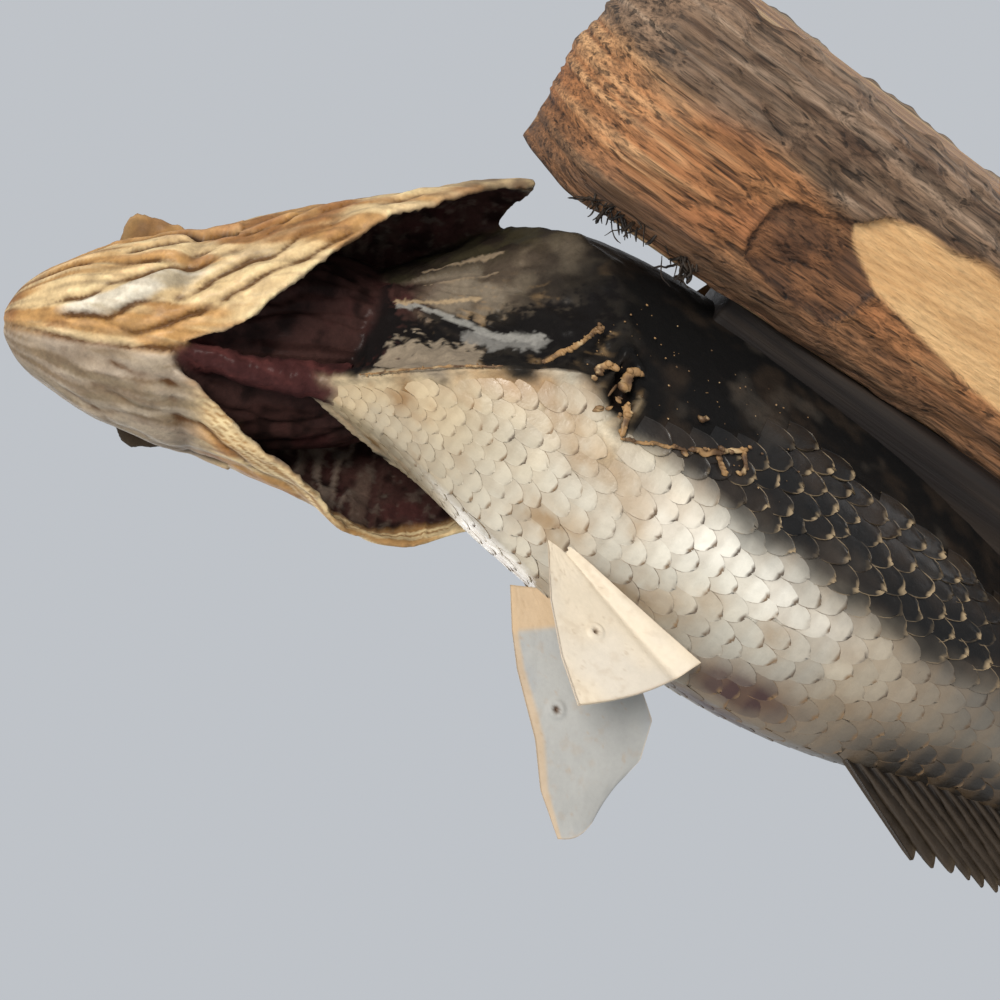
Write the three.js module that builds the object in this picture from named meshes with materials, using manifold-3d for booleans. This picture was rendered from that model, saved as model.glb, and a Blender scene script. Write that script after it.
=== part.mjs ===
// Mounted trophy fish: a dried bass-like perch on a live-edge board, head turned to the room.
// Units are millimetres. +X is the way the fish faces, +Y goes to the wall, +Z is up.
// The origin is the middle of the board's flat back.
import * as THREE from 'three';
import { mergeVertices } from 'three/addons/utils/BufferGeometryUtils.js';
import Module from 'manifold-3d';

// ---- placing the fish against the board -------------------------------------------------
const AXIS_TO_WALL = 105;          // fish's long axis to the back of the board
const CHIN_AHEAD_OF_CENTRE = 273;  // chin station to the board's middle, along X
const AXIS_BELOW_CENTRE = 64;      // fish's long axis below the board's middle
const BELLY_ROLL = 24;             // degrees the belly is rolled out from the wall
const GAP = 0.3;                   // air between pieces that meet

// ---- body, measured from the chin station back ------------------------------------------
// station, top, bottom, half width, sideways shift of the middle
const BODY = [
  [82, 26, -37, 26, -10],
  [98, 35, -40, 32, -5],
  [112, 40, -42.5, 35.5, -2],
  [125, 46, -46, 38, 0],
  [150, 53, -51.5, 40, 0],
  [190, 56, -56, 41, 0],
  [235, 53.5, -52.5, 38.5, 0],
  [290, 42, -36, 29, 0],
  [330, 31, -27, 20.5, 0],
  [370, 24, -22.5, 13.5, 0],
  [400, 23, -21.5, 7.5, 0],
];
const KEEL = 0.4;                  // how much the belly narrows to a keel
const BREAST_END = 180;            // breast and shoulders end here
const VENT = 252;                  // belly ends at the front of the anal fin
const STANDARD_LENGTH = 400;       // end of the scaled tail
const GIRDLE_VENTRAL = 82;         // front edge of the scaled skin under the throat
const GIRDLE_SIDE = 146;           // the same edge beside the gill opening
const GIRDLE_DORSAL = 98;          // and on the nape
const GIRDLE_TURN = 68;            // degrees up from the belly where the edge is furthest back
const GIRDLE_POINT = 1.5;          // how sharply the edge comes to a point under the throat
const GIRDLE_LIP = 0.075;          // how far the edge stands up from the gill chamber wall
const CHAMBER_BULGE = 3.6;         // how fast the chamber wall swells behind the head
const NECK_NARROW = 0.93;
const RING_POINTS = 28;

// ---- head, in its own frame: x forward from the chin, y to its left, z up ----------------
const HEAD_SCALE = 0.93;
const HEAD_YAW = -19.0;            // degrees, turned out to the room
const HEAD_DROOP = 21.6;
const HEAD_TWIST = 38.4;           // underside rolled back towards the wall
const CHIN_AT = [-10.8, -44.8, -48.2];
// station, top, bottom, half width
const HEAD = [
  [0, -1, -8, 4],
  [5, 4, -13.5, 11],
  [13, 9, -18.5, 17],
  [25, 15.5, -24, 23.5],
  [40, 22, -28.5, 28],
  [50, 26, -30.5, 31],
  [56, 28, -27, 31.5],
  [62, 30, -22, 32],
  [72, 33, -17, 31],
  [84, 36, -15, 29.5],
  [96, 38, -11, 28],
  [104, 37, -8, 25.5],
];
const HEAD_FULLNESS = 2.3;
const HEAD_BACK = 104;
const MOUTH_CORNER = 62;
const MOUTH_FRONT_Z = -4;
const MOUTH_CORNER_Z = -14;
const MOUTH_CUT = 80;              // reach of the tool that parts the jaws
const EYE_STATION = 36.5;
const EYE_OUT = 14.4;
const EYE_UP = 11.2;
const EYE_RADIUS = 8.5;
const ORBIT_LOOK = [-0.18, 0.88, 0.44]; // way the left eye looks
const ORBIT_OUT = 7.4;             // height of the raised skin round the eye over the eye's middle
const ORBIT_WALL = [               // radius and height of that skin, in section
  [11.5, -10],
  [10.2, -2.5],
  [9.2, 0.9],
  [8.8, -3],
  [8.8, -10],
];
// curled end of the upper lip under each eye: station, reach from the middle line, half thickness
const LIP_END = [[27, 24, 1.2], [29.5, 32.6, 1.7], [34, 34, 2.4], [41, 32.8, 2.8], [46, 31.6, 2.2], [48.5, 28.5, 1.2]];
const LIP_END_ROOT = 12;
const LIP_END_UP = 5;
const THROAT_STATION = 54;         // where the two gill membranes meet
const THROAT_Z = -26;
const ISTHMUS_FRONT_RADIUS = 3;
const ISTHMUS_SWELL = 3.2;
const ISTHMUS_END = 93;
const ISTHMUS_BELOW_SKIN = 6.5;
const ISTHMUS_SAG = 1.5;

// ---- gill covers, arcs about the head's axis, 0 degrees under the throat -----------------
// station, out, down, lower edge, upper edge
const COVER_LEFT = [
  [46, 28.5, 28.5, 2, 96],
  [52, 30.5, 30.5, 4, 112],
  [58, 33.5, 32, 7, 118],
  [70, 38, 35, 16, 130],
  [84, 42, 36, 30, 144],
  [96, 45.5, 35, 46, 154],
  [110, 49, 34, 58, 156],
  [126, 54, 31, 68, 148],
  [134, 56, 28, 74, 132],
  [140, 56.5, 26.5, 78, 117],
  [144.5, 56.5, 26, 82, 106],
];
const COVER_RIGHT = [
  [46, 28.5, 28.5, 2, 96],
  [52, 30.5, 30.5, 5, 112],
  [58, 33.5, 32, 11, 118],
  [70, 37.5, 35, 27, 128],
  [84, 41.5, 36, 46, 138],
  [96, 46, 36, 60, 144],
  [110, 50, 35, 70, 146],
  [124, 50, 32, 76, 128],
  [134, 49, 28, 80, 112],
  [141, 47, 26, 85, 98],
];
const ROLLED_EDGE = { left: 1.5, right: 5 }; // how far the free edge is rolled out
const ROLL_SHARE = 0.35;           // share of the arc that is rolled
const COVER_THICK = 2.2;

// ---- fins -------------------------------------------------------------------------------
const FIN_THICK = 1.6;
const CARD_THICK = 1.0;
const FIN_ROOT = 8;                // depth a fin is drawn into the body before it is cut to it
const SPINY = { front: 134, back: 236, height: 34, rays: 11 };
const SOFT = { front: 242, back: 318, height: 38, rays: 13 };
const ANAL = { front: 250, back: 304, height: 24, rays: 12 };
const TAIL = { reach: 66, spread: 44, fork: 9, rays: 17 };
const PECTORAL = { station: 147, around: -112, length: 52, spread: 34 };
const STUB = { station: 151, around: 118, length: 7, height: 16 };
// card triangles hung from the breast: root, back corner, low corner, as offsets in the body
const CARD_LEFT = {
  root: [-158, 9, -50],
  corners: [[2.6, 0, 3.4], [-26.7, 2.4, -4], [-43.2, 3.8, -8.5], [-32, 3.2, -21], [-21.4, 2.5, -33.2],
    [-13.2, 1.6, -24.4], [2.1, -0.2, 3]],
};
const CARD_RIGHT = {
  root: [-157, -9, -50],
  corners: [[-9.1, 1.5, 1.3], [-26.6, 0.9, -2.5], [-41.3, -0.1, -6.4], [-48.5, -2.1, -12],
    [-51.3, -7.1, -20.5], [-48, -14, -32.3], [-43.8, -20.9, -44], [-26.2, -13.7, -28.5],
    [-13, -8.7, -17.5], [0, -1.3, -2.4]],
};

// ---- board ------------------------------------------------------------------------------
const BOARD_LENGTH = 354;
const BOARD_THICK = 55;
const BOARD_LOW = -76;
const BOARD_HIGH = 76;
const BOARD_END_ROUND = 34;
const BOARD_HOLLOW = 18;            // the live lower edge rises this much mid-length
const BOARD_HOLLOW_REACH = 90;
const BLOCK = { front: 110, back: -60, low: -60, high: -22, deep: 24 };

// ---- colours ----------------------------------------------------------------------------
const SKIN_WHITE = 0xe6e2d8;
const SKIN_DARK = 0x1f1c1a;
const SKIN_TAN = 0xb9935c;
const SKIN_CREAM = 0xcdbb97;
const CHAMBER = 0x4a2e2c;
const CARD_WHITE = 0xece6da;
const FIN_DRY = 0x54493a;
const WOOD = 0x8a5a34;
const WOOD_DARK = 0x2c2018;
const EYE_GLASS = 0x1a140c;

const wasm = await Module();
wasm.setup();

const rad = (degrees) => degrees * Math.PI / 180;

// smooth value from a table of stations, column k, eased between neighbours
function along(table, s, k) {
  const last = table.length - 1;
  if (s <= table[0][0]) return table[0][k];
  if (s >= table[last][0]) return table[last][k];
  let i = 0;
  while (table[i + 1][0] < s) i += 1;
  const slope = (a, b) => (table[b][k] - table[a][k]) / (table[b][0] - table[a][0]);
  const m0 = i > 0 ? slope(i - 1, i + 1) : slope(i, i + 1);
  const m1 = i + 2 <= last ? slope(i, i + 2) : slope(i, i + 1);
  const h = table[i + 1][0] - table[i][0];
  const t = (s - table[i][0]) / h;
  const t2 = t * t;
  const t3 = t2 * t;
  return (2 * t3 - 3 * t2 + 1) * table[i][k] + (t3 - 2 * t2 + t) * h * m0
    + (3 * t2 - 2 * t3) * table[i + 1][k] + (t3 - t2) * h * m1;
}

const smooth = (a, b, x) => {
  const t = Math.min(1, Math.max(0, (x - a) / (b - a)));
  return t * t * (3 - 2 * t);
};

// ---- frames -----------------------------------------------------------------------------
const bodyToRow = new THREE.Matrix4()
  .makeTranslation(CHIN_AHEAD_OF_CENTRE, -AXIS_TO_WALL, -AXIS_BELOW_CENTRE)
  .multiply(new THREE.Matrix4().makeRotationX(-rad(BELLY_ROLL)));
const headToBody = new THREE.Matrix4().makeTranslation(...CHIN_AT)
  .multiply(new THREE.Matrix4().makeRotationFromEuler(
    new THREE.Euler(rad(HEAD_TWIST), rad(HEAD_DROOP), rad(HEAD_YAW), 'ZYX')))
  .multiply(new THREE.Matrix4().makeScale(HEAD_SCALE, HEAD_SCALE, HEAD_SCALE));

// ---- surfaces ---------------------------------------------------------------------------
// angle 0 is the back, 90 the left flank, 180 the belly
function bodyPoint(s, angle, grow = 0) {
  const top = along(BODY, s, 1) + grow;
  const bottom = along(BODY, s, 2) - grow;
  const half = along(BODY, s, 3) + grow;
  const c = Math.cos(angle);
  const side = Math.sin(angle);
  const power = 1 + KEEL * Math.max(0, -c) ** 2;
  const y = along(BODY, s, 4) + half * Math.sign(side) * Math.abs(side) ** power;
  return new THREE.Vector3(-s, y, (top + bottom) / 2 + (top - bottom) / 2 * c);
}

function headPoint(s, angle, grow = 0) {
  const top = along(HEAD, s, 1) + grow;
  const bottom = along(HEAD, s, 2) - grow;
  const half = along(HEAD, s, 3) + grow;
  const e = 2 / HEAD_FULLNESS;
  const c = Math.cos(angle);
  const side = Math.sin(angle);
  return new THREE.Vector3(-s, half * Math.sign(side) * Math.abs(side) ** e,
    (top + bottom) / 2 + (top - bottom) / 2 * Math.sign(c) * Math.abs(c) ** e);
}

const girdle = (angle) => {
  const up = Math.abs(180 - Math.abs(angle) * 180 / Math.PI);
  if (up < GIRDLE_TURN) {
    return GIRDLE_VENTRAL + (GIRDLE_SIDE - GIRDLE_VENTRAL) * (up / GIRDLE_TURN) ** GIRDLE_POINT;
  }
  return GIRDLE_SIDE - (GIRDLE_SIDE - GIRDLE_DORSAL) * smooth(GIRDLE_TURN, 180, up);
};

const angles = (count) => Array.from({ length: count }, (_, i) => i / count * 2 * Math.PI);
const steps = (a, b, n) => Array.from({ length: n + 1 }, (_, i) => a + (b - a) * i / n);

// ---- solids -----------------------------------------------------------------------------
// closed skin through equal rings, fanned shut at both ends
function loft(rings, matrix) {
  const n = rings[0].length;
  const points = [];
  const faces = [];
  rings.forEach((ring) => ring.forEach((p) => points.push(p)));
  for (let r = 0; r + 1 < rings.length; r += 1) {
    for (let i = 0; i < n; i += 1) {
      const j = (i + 1) % n;
      const a = r * n + i;
      const b = r * n + j;
      faces.push([a, b, b + n], [a, b + n, a + n]);
    }
  }
  const cap = (start, ring, flip) => {
    const middle = ring.reduce((sum, p) => sum.add(p), new THREE.Vector3()).divideScalar(n);
    points.push(middle);
    const m = points.length - 1;
    for (let i = 0; i < n; i += 1) {
      const j = (i + 1) % n;
      faces.push(flip ? [start + j, start + i, m] : [start + i, start + j, m]);
    }
  };
  cap(0, rings[0], true);
  cap((rings.length - 1) * n, rings[rings.length - 1], false);
  return solid(points, faces, matrix);
}

function solid(points, faces, matrix) {
  const placed = points.map((p) => p.clone().applyMatrix4(matrix));
  const volume = faces.reduce((sum, [a, b, c]) => sum
    + placed[a].dot(new THREE.Vector3().crossVectors(placed[b], placed[c])), 0);
  const turned = volume < 0 ? faces.map(([a, b, c]) => [a, c, b]) : faces;
  return new wasm.Manifold(new wasm.Mesh({
    numProp: 3,
    vertProperties: new Float32Array(placed.flatMap((p) => [p.x, p.y, p.z])),
    triVerts: new Uint32Array(turned.flat()),
  }));
}

// crumbs a cut leaves behind are dropped
function largest(body) {
  return body.decompose().sort((a, b) => b.volume() - a.volume())[0];
}

function mesh(name, body, color, roughness) {
  const raw = largest(body).getMesh();
  let geometry = new THREE.BufferGeometry();
  const flat = new Float32Array(raw.vertProperties.length / raw.numProp * 3);
  for (let i = 0; i < flat.length / 3; i += 1) {
    for (let k = 0; k < 3; k += 1) flat[i * 3 + k] = raw.vertProperties[i * raw.numProp + k];
  }
  geometry.setAttribute('position', new THREE.BufferAttribute(flat, 3));
  geometry.setIndex(new THREE.BufferAttribute(new Uint32Array(raw.triVerts), 1));
  geometry = mergeVertices(geometry, 1e-4);
  geometry.computeVertexNormals();
  const material = new THREE.MeshStandardMaterial({ color, roughness, metalness: 0 });
  const result = new THREE.Mesh(geometry, material);
  result.name = name;
  return result;
}

// flat plate from an outline (x, y) standing on a frame, thickness both sides of it
function plate(outline, frame, thick) {
  const shape = new THREE.Shape(outline.map(([x, y]) => new THREE.Vector2(x, y)));
  const geometry = new THREE.ExtrudeGeometry(shape, { depth: thick, bevelEnabled: false, steps: 1 });
  geometry.translate(0, 0, -thick / 2);
  return fromGeometry(geometry, frame);
}

function fromGeometry(source, matrix) {
  source.deleteAttribute('normal');
  source.deleteAttribute('uv');
  const geometry = mergeVertices(source, 1e-4);
  const at = geometry.getAttribute('position');
  const points = Array.from({ length: at.count }, (_, i) => new THREE.Vector3().fromBufferAttribute(at, i));
  const index = geometry.getIndex().array;
  const faces = [];
  for (let i = 0; i < index.length; i += 3) {
    const face = [index[i], index[i + 1], index[i + 2]];
    if (new Set(face).size === 3) faces.push(face);
  }
  return solid(points, faces, matrix);
}

// ---- trunk ------------------------------------------------------------------------------
function trunkRings(from, to, count, grow = 0) {
  return steps(from, to, count).map((s) => angles(RING_POINTS).map((a) => bodyPoint(s, a, grow)));
}

// shoulders: the wall of the gill chambers from the neck out to the girdle, then the first scales
function breast(grow = 0) {
  const bodyFromHead = (p) => p.clone().applyMatrix4(headToBody);
  const neck = angles(RING_POINTS).map((a) => {
    const p = headPoint(HEAD_BACK, a + rad(HEAD_TWIST), grow);
    p.x = -(HEAD_BACK + GAP * 2) + grow;
    p.y *= NECK_NARROW;
    return bodyFromHead(p);
  });
  const inner = angles(RING_POINTS).map((a) => {
    const rim = bodyPoint(girdle(a) - 0.8, a, grow);
    const middle = new THREE.Vector3(rim.x, along(BODY, -rim.x, 4), -4);
    return rim.lerp(middle, GIRDLE_LIP * Math.min(1, Math.max(0, 0.35 - Math.cos(a))));
  });
  const wall = [0, 0.08, 0.2, 0.4, 1].map(
    (t) => neck.map((p, i) => p.clone().lerp(inner[i], 1 - (1 - t) ** CHAMBER_BULGE)));
  const skin = steps(0, 1, 5).map((t) => angles(RING_POINTS).map(
    (a) => bodyPoint(girdle(a) + (BREAST_END - girdle(a)) * t, a, grow)));
  return loft([...wall, ...skin], bodyToRow);
}

// ---- head -------------------------------------------------------------------------------
const headToRow = bodyToRow.clone().multiply(headToBody);
const mouthHeight = (s) => MOUTH_FRONT_Z + (MOUTH_CORNER_Z - MOUTH_FRONT_Z) * (s / MOUTH_CORNER) ** 1.4;

const headStations = [0.5, ...steps(2, HEAD_BACK, 16)];
const headLoft = (grow) => loft(
  headStations.map((s) => angles(RING_POINTS).map((a) => headPoint(s, a, grow))), headToRow);

// everything under the mouth line, as far back as the corner of the jaws
function underMouth(grow) {
  const line = steps(-6, MOUTH_CORNER + grow, 10).map((s) => [-s, mouthHeight(Math.max(s, 0)) + grow]);
  const outline = [...line, [-MOUTH_CORNER - grow, -MOUTH_CUT], [6, -MOUTH_CUT]];
  const frame = headToRow.clone().multiply(new THREE.Matrix4().makeBasis(
    new THREE.Vector3(1, 0, 0), new THREE.Vector3(0, 0, 1), new THREE.Vector3(0, -1, 0)));
  return plate(outline, frame, 2 * MOUTH_CUT);
}

const eyeMiddle = (side) => new THREE.Vector3(-EYE_STATION, side * EYE_OUT, EYE_UP);
const ball = (side, radius) => fromGeometry(new THREE.SphereGeometry(radius * HEAD_SCALE, 22, 12),
  new THREE.Matrix4().setPosition(eyeMiddle(side).applyMatrix4(headToRow)));

// ring of raised, dried skin round an eye, open in the middle for the glass
function orbit(side) {
  const mirrored = ([x, y, z]) => new THREE.Vector3(x, side * y, z);
  const toward = mirrored(ORBIT_LOOK).normalize();
  const across = new THREE.Vector3().crossVectors(toward, new THREE.Vector3(0, 0, 1)).normalize();
  const up = new THREE.Vector3().crossVectors(toward, across);
  const middle = eyeMiddle(side).addScaledVector(toward, ORBIT_OUT);
  const section = ORBIT_WALL.map(([r, h]) => new THREE.Vector2(r, h));
  const wall = new THREE.LatheGeometry([...section, section[0]], 18);
  const frame = headToRow.clone().multiply(
    new THREE.Matrix4().makeBasis(across, toward, up).setPosition(middle));
  return fromGeometry(wall, frame);
}

// dried end of the upper lip, curled out from under an eye
function lipEnd(side, grow = 0) {
  const rings = steps(LIP_END[0][0] - grow, LIP_END[LIP_END.length - 1][0] + grow, 10).map((s) => {
    const half = (along(LIP_END, s, 1) - LIP_END_ROOT) / 2 + grow;
    const thick = along(LIP_END, s, 2) + grow;
    return angles(12).map((a) => new THREE.Vector3(
      -s, side * (LIP_END_ROOT + half + half * Math.cos(a)), LIP_END_UP + thick * Math.sin(a)));
  });
  return loft(rings, headToRow);
}

const headRoom = headLoft(GAP + 0.1);
const lipRoom = lipEnd(1, GAP + 0.1).add(lipEnd(-1, GAP + 0.1));
const wholeHead = headLoft(0).add(orbit(1)).add(orbit(-1)).add(lipEnd(1)).add(lipEnd(-1));
const skull = wholeHead
  .subtract(underMouth(GAP))
  .subtract(ball(1, EYE_RADIUS + GAP))
  .subtract(ball(-1, EYE_RADIUS + GAP));
const jaw = headLoft(0).intersect(underMouth(0));

const trunk = {
  front: breast().subtract(headRoom),
  mid: loft(trunkRings(BREAST_END + GAP, VENT, 5), bodyToRow),
  stalk: loft(trunkRings(VENT + GAP, STANDARD_LENGTH, 9), bodyToRow),
};
const breastRoom = breast(GAP).add(trunk.front);
const bodyRoom = loft(trunkRings(112, STANDARD_LENGTH + GAP, 20, GAP + 0.1), bodyToRow);

// ---- gill covers ------------------------------------------------------------------------
function cover(table, side, rolled) {
  const arcPoints = 9;
  const rings = steps(table[0][0], table[table.length - 1][0], 12).map((s) => {
    const from = rad(along(table, s, 3));
    const to = rad(along(table, s, 4));
    const reach = smooth(84, 102, s) * (1 - smooth(118, 138, s));
    const shell = (inset, a) => {
      const nearEdge = Math.max(0, 1 - (a - from) / (to - from) / ROLL_SHARE);
      const grow = rolled * nearEdge * reach - inset;
      return new THREE.Vector3(-s, side * (along(table, s, 1) + grow) * Math.sin(a),
        -(along(table, s, 2) + grow) * Math.cos(a));
    };
    const outer = steps(from, to, arcPoints).map((a) => shell(0, a));
    const innerArc = steps(to, from, arcPoints).map((a) => shell(COVER_THICK, a));
    return [...outer, ...innerArc];
  });
  return loft(rings, headToRow).subtract(headRoom).subtract(lipRoom).subtract(breastRoom);
}

// ---- isthmus ----------------------------------------------------------------------------
function isthmus() {
  const front = new THREE.Vector3(-THROAT_STATION, 0, THROAT_Z).applyMatrix4(headToBody);
  const back = bodyPoint(ISTHMUS_END, Math.PI);
  back.z += ISTHMUS_BELOW_SKIN;
  const rings = steps(0, 1, 5).map((t) => {
    const middle = front.clone().lerp(back, t);
    middle.z -= ISTHMUS_SAG * Math.sin(Math.PI * t);
    const r = ISTHMUS_FRONT_RADIUS + ISTHMUS_SWELL * t ** 1.5;
    return angles(14).map((a) => new THREE.Vector3(middle.x,
      middle.y + r * (1.35 - 0.5 * t) * Math.sin(a), middle.z + r * Math.cos(a)));
  });
  return loft(rings, bodyToRow).subtract(headRoom).subtract(breastRoom);
}

// ---- fins -------------------------------------------------------------------------------
// outline over a base line: x runs back along the body, y away from it, scalloped between rays
function rayedOutline(fin, profile) {
  const base = fin.back - fin.front;
  const top = [];
  steps(0, 1, fin.rays * 2).forEach((t, i) => {
    const notch = i % 2 === 1 ? fin.notch : 0;
    top.push([t * base + fin.lean * profile(t), fin.height * profile(t) * (1 - notch)]);
  });
  return [[0, -FIN_ROOT], ...top, [base, -FIN_ROOT]];
}

// frame standing in the fish's middle plane, x back, y up (or down), foot at the skin
function midFrame(s0, s1, k, sign) {
  const z0 = along(BODY, s0, k);
  const z1 = along(BODY, s1, k);
  const x = new THREE.Vector3(-(s1 - s0), 0, z1 - z0).normalize();
  const y = new THREE.Vector3(x.z, 0, -x.x).multiplyScalar(sign);
  const z = new THREE.Vector3().crossVectors(x, y);
  return bodyToRow.clone().multiply(new THREE.Matrix4().makeBasis(x, y, z)
    .setPosition(-s0, 0, z0));
}

const spinyProfile = (t) => 0.25 + 0.75 * Math.sin(Math.PI * (0.04 + 0.82 * t)) ** 1.2 - 0.15 * t;
const softProfile = (t) => 0.42 + 0.58 * Math.sin(Math.PI * (0.18 + 0.68 * t));
const analProfile = (t) => 0.45 + 0.55 * Math.sin(Math.PI * (0.2 + 0.62 * t)) - 0.2 * t;

function midFin(fin, profile, k, sign, notch, lean) {
  const shape = { ...fin, notch, lean };
  return plate(rayedOutline(shape, profile), midFrame(fin.front, fin.back, k, sign), FIN_THICK)
    .subtract(bodyRoom);
}

function tail() {
  const outline = [[-2, -20], ...steps(-1, 1, TAIL.rays * 2).map((t, i) => {
    const reach = TAIL.reach - TAIL.fork * Math.cos(t * Math.PI / 2) - (i % 2) * 1.4
      - 6 * Math.abs(t) ** 6;
    return [reach * Math.cos(t * 0.62), TAIL.spread * t * (0.82 + 0.18 * Math.abs(t))];
  }), [-2, 20]];
  const x = new THREE.Vector3(-1, 0, 0);
  const y = new THREE.Vector3(0, 0, 1);
  const frame = bodyToRow.clone().multiply(new THREE.Matrix4()
    .makeBasis(x, y, new THREE.Vector3().crossVectors(x, y))
    .setPosition(-STANDARD_LENGTH, 0, 0.7));
  return plate(outline, frame, FIN_THICK).subtract(bodyRoom);
}

function pectoral() {
  const root = bodyPoint(PECTORAL.station, rad(PECTORAL.around));
  const x = new THREE.Vector3(-0.9, -0.3, -0.25).normalize();
  const out = new THREE.Vector3(0.1, -0.55, 0.8);
  const z = new THREE.Vector3().crossVectors(x, out).normalize();
  const y = new THREE.Vector3().crossVectors(z, x);
  const fan = steps(-1, 1, 14).map((t, i) => {
    const r = PECTORAL.length * (1 - 0.28 * t * t) - (i % 2) * 1.2;
    return [r * Math.cos(t * 0.42), PECTORAL.spread / 2 * t * (0.75 + 0.4 * (1 - t * t))];
  });
  const frame = bodyToRow.clone().multiply(new THREE.Matrix4().makeBasis(x, y, z).setPosition(root));
  return plate([[-FIN_ROOT, -5], ...fan, [-FIN_ROOT, 5]], frame, FIN_THICK).subtract(bodyRoom);
}

function stub() {
  const root = bodyPoint(STUB.station, rad(STUB.around));
  const y = bodyPoint(STUB.station, rad(STUB.around - 14)).sub(root).normalize();
  const x = new THREE.Vector3(-0.85, 0.5, 0).normalize();
  const z = new THREE.Vector3().crossVectors(x, y).normalize();
  const upright = new THREE.Vector3().crossVectors(z, x);
  const frame = bodyToRow.clone().multiply(
    new THREE.Matrix4().makeBasis(x, upright, z).setPosition(root));
  const torn = steps(-1, 1, 8).map((t, i) => [STUB.length - (i % 2) * 2.2, STUB.height / 2 * t]);
  return plate([[-FIN_ROOT, -STUB.height / 2], ...torn, [-FIN_ROOT, STUB.height / 2]], frame,
    FIN_THICK * 1.5).subtract(bodyRoom);
}

// a flat card cut to the corners given, in the plane that fits its longest reach and first corners
function card({ root, corners }) {
  const points = corners.map((c) => new THREE.Vector3(...c));
  const middle = points.reduce((sum, p) => sum.add(p), new THREE.Vector3()).divideScalar(points.length);
  const normal = points.reduce((sum, p, i) => {
    const next = points[(i + 1) % points.length];
    return sum.add(new THREE.Vector3().crossVectors(p.clone().sub(middle), next.clone().sub(middle)));
  }, new THREE.Vector3()).normalize();
  const x = points[0].clone().sub(middle).projectOnPlane(normal).normalize();
  const y = new THREE.Vector3().crossVectors(normal, x);
  const outline = points.map((p) => [p.clone().sub(middle).dot(x), p.clone().sub(middle).dot(y)]);
  const origin = new THREE.Vector3(...root).add(middle);
  const frame = bodyToRow.clone().multiply(new THREE.Matrix4().makeBasis(x, y, normal).setPosition(origin));
  return plate(outline, frame, CARD_THICK).subtract(bodyRoom);
}

// ---- board and block --------------------------------------------------------------------
const wave = (x, a, b, c) => Math.sin(x / a) * 2.2 + Math.sin(x / b + 1) * 1.6 + Math.sin(x / c) * 0.8;

function board() {
  const half = BOARD_LENGTH / 2;
  const rings = steps(-half, half, 30).map((x) => {
    const corner = Math.max(0, Math.abs(x) - (half - BOARD_END_ROUND)) / BOARD_END_ROUND;
    const rise = 26 * (1 - Math.sqrt(1 - Math.min(0.995, corner * 0.97) ** 2));
    const low = BOARD_LOW + wave(x, 31, 57, 13) + rise
      + BOARD_HOLLOW * Math.exp(-((x / BOARD_HOLLOW_REACH) ** 2));
    const high = BOARD_HIGH + wave(x, 43, 23, 11) - rise * 0.7;
    const front = -BOARD_THICK;
    return [[front, low + 3], [front * 0.86, low - 1], [front * 0.6, low - 3], [front * 0.3, low - 1],
      [front * 0.08, low + 3], [0, low + 7], [0, high - 7], [front * 0.15, high - 1],
      [front * 0.5, high + 2], [front * 0.85, high - 1], [front, high - 6]]
      .map(([y, z]) => new THREE.Vector3(x, y, z));
  });
  return loft(rings, new THREE.Matrix4());
}

function block() {
  const box = new THREE.BoxGeometry(BLOCK.front - BLOCK.back, BLOCK.deep, BLOCK.high - BLOCK.low);
  const middle = new THREE.Vector3((BLOCK.front + BLOCK.back) / 2,
    -BOARD_THICK - GAP - BLOCK.deep / 2, (BLOCK.high + BLOCK.low) / 2);
  return fromGeometry(box, new THREE.Matrix4().setPosition(middle)).subtract(bodyRoom);
}

// ---- everything -------------------------------------------------------------------------
const group = new THREE.Group();
group.name = 'mounted_trophy_fish';
group.add(
  mesh('board', board(), WOOD, 0.8),
  mesh('mounting_block', block(), WOOD_DARK, 0.85),
  mesh('trunk_front', trunk.front, SKIN_WHITE, 0.45),
  mesh('trunk_mid', trunk.mid, SKIN_WHITE, 0.4),
  mesh('tail_stalk', trunk.stalk, SKIN_DARK, 0.4),
  mesh('head', skull, SKIN_TAN, 0.55),
  mesh('lower_jaw', jaw, SKIN_CREAM, 0.55),
  mesh('isthmus', isthmus(), CHAMBER, 0.6),
  mesh('gill_cover_left', cover(COVER_LEFT, 1, ROLLED_EDGE.left), SKIN_TAN, 0.55),
  mesh('gill_cover_right', cover(COVER_RIGHT, -1, ROLLED_EDGE.right), SKIN_TAN, 0.55),
  mesh('eye_left', ball(1, EYE_RADIUS), EYE_GLASS, 0.1),
  mesh('eye_right', ball(-1, EYE_RADIUS), EYE_GLASS, 0.1),
  mesh('dorsal_fin_spiny', midFin(SPINY, spinyProfile, 1, 1, 0.2, 8), FIN_DRY, 0.6),
  mesh('dorsal_fin_soft', midFin(SOFT, softProfile, 1, 1, 0.05, 12), FIN_DRY, 0.6),
  mesh('anal_fin', midFin(ANAL, analProfile, 2, -1, 0.08, 30), FIN_DRY, 0.6),
  mesh('caudal_fin', tail(), FIN_DRY, 0.6),
  mesh('pectoral_fin_right', pectoral(), FIN_DRY, 0.6),
  mesh('pectoral_stub_left', stub(), SKIN_TAN, 0.7),
  mesh('pelvic_fin_left', card(CARD_LEFT), CARD_WHITE, 0.7),
  mesh('pelvic_fin_right', card(CARD_RIGHT), CARD_WHITE, 0.7),
);

export default group;
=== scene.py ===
"""Mounted trophy fish on a live-edge board: looks for Blender.

Lengths are millimetres in the fish's own frames until mesh() turns them into metres in the row frame.
Body frame: x forward from the chin station (station s = -x), y the fish's left, z its back.
Head frame: x forward from the chin, y the head's left, z its top, drawn at HEAD_SCALE.
"""
import math

import bpy
import numpy as np
from mathutils import Matrix, Vector, kdtree


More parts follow.
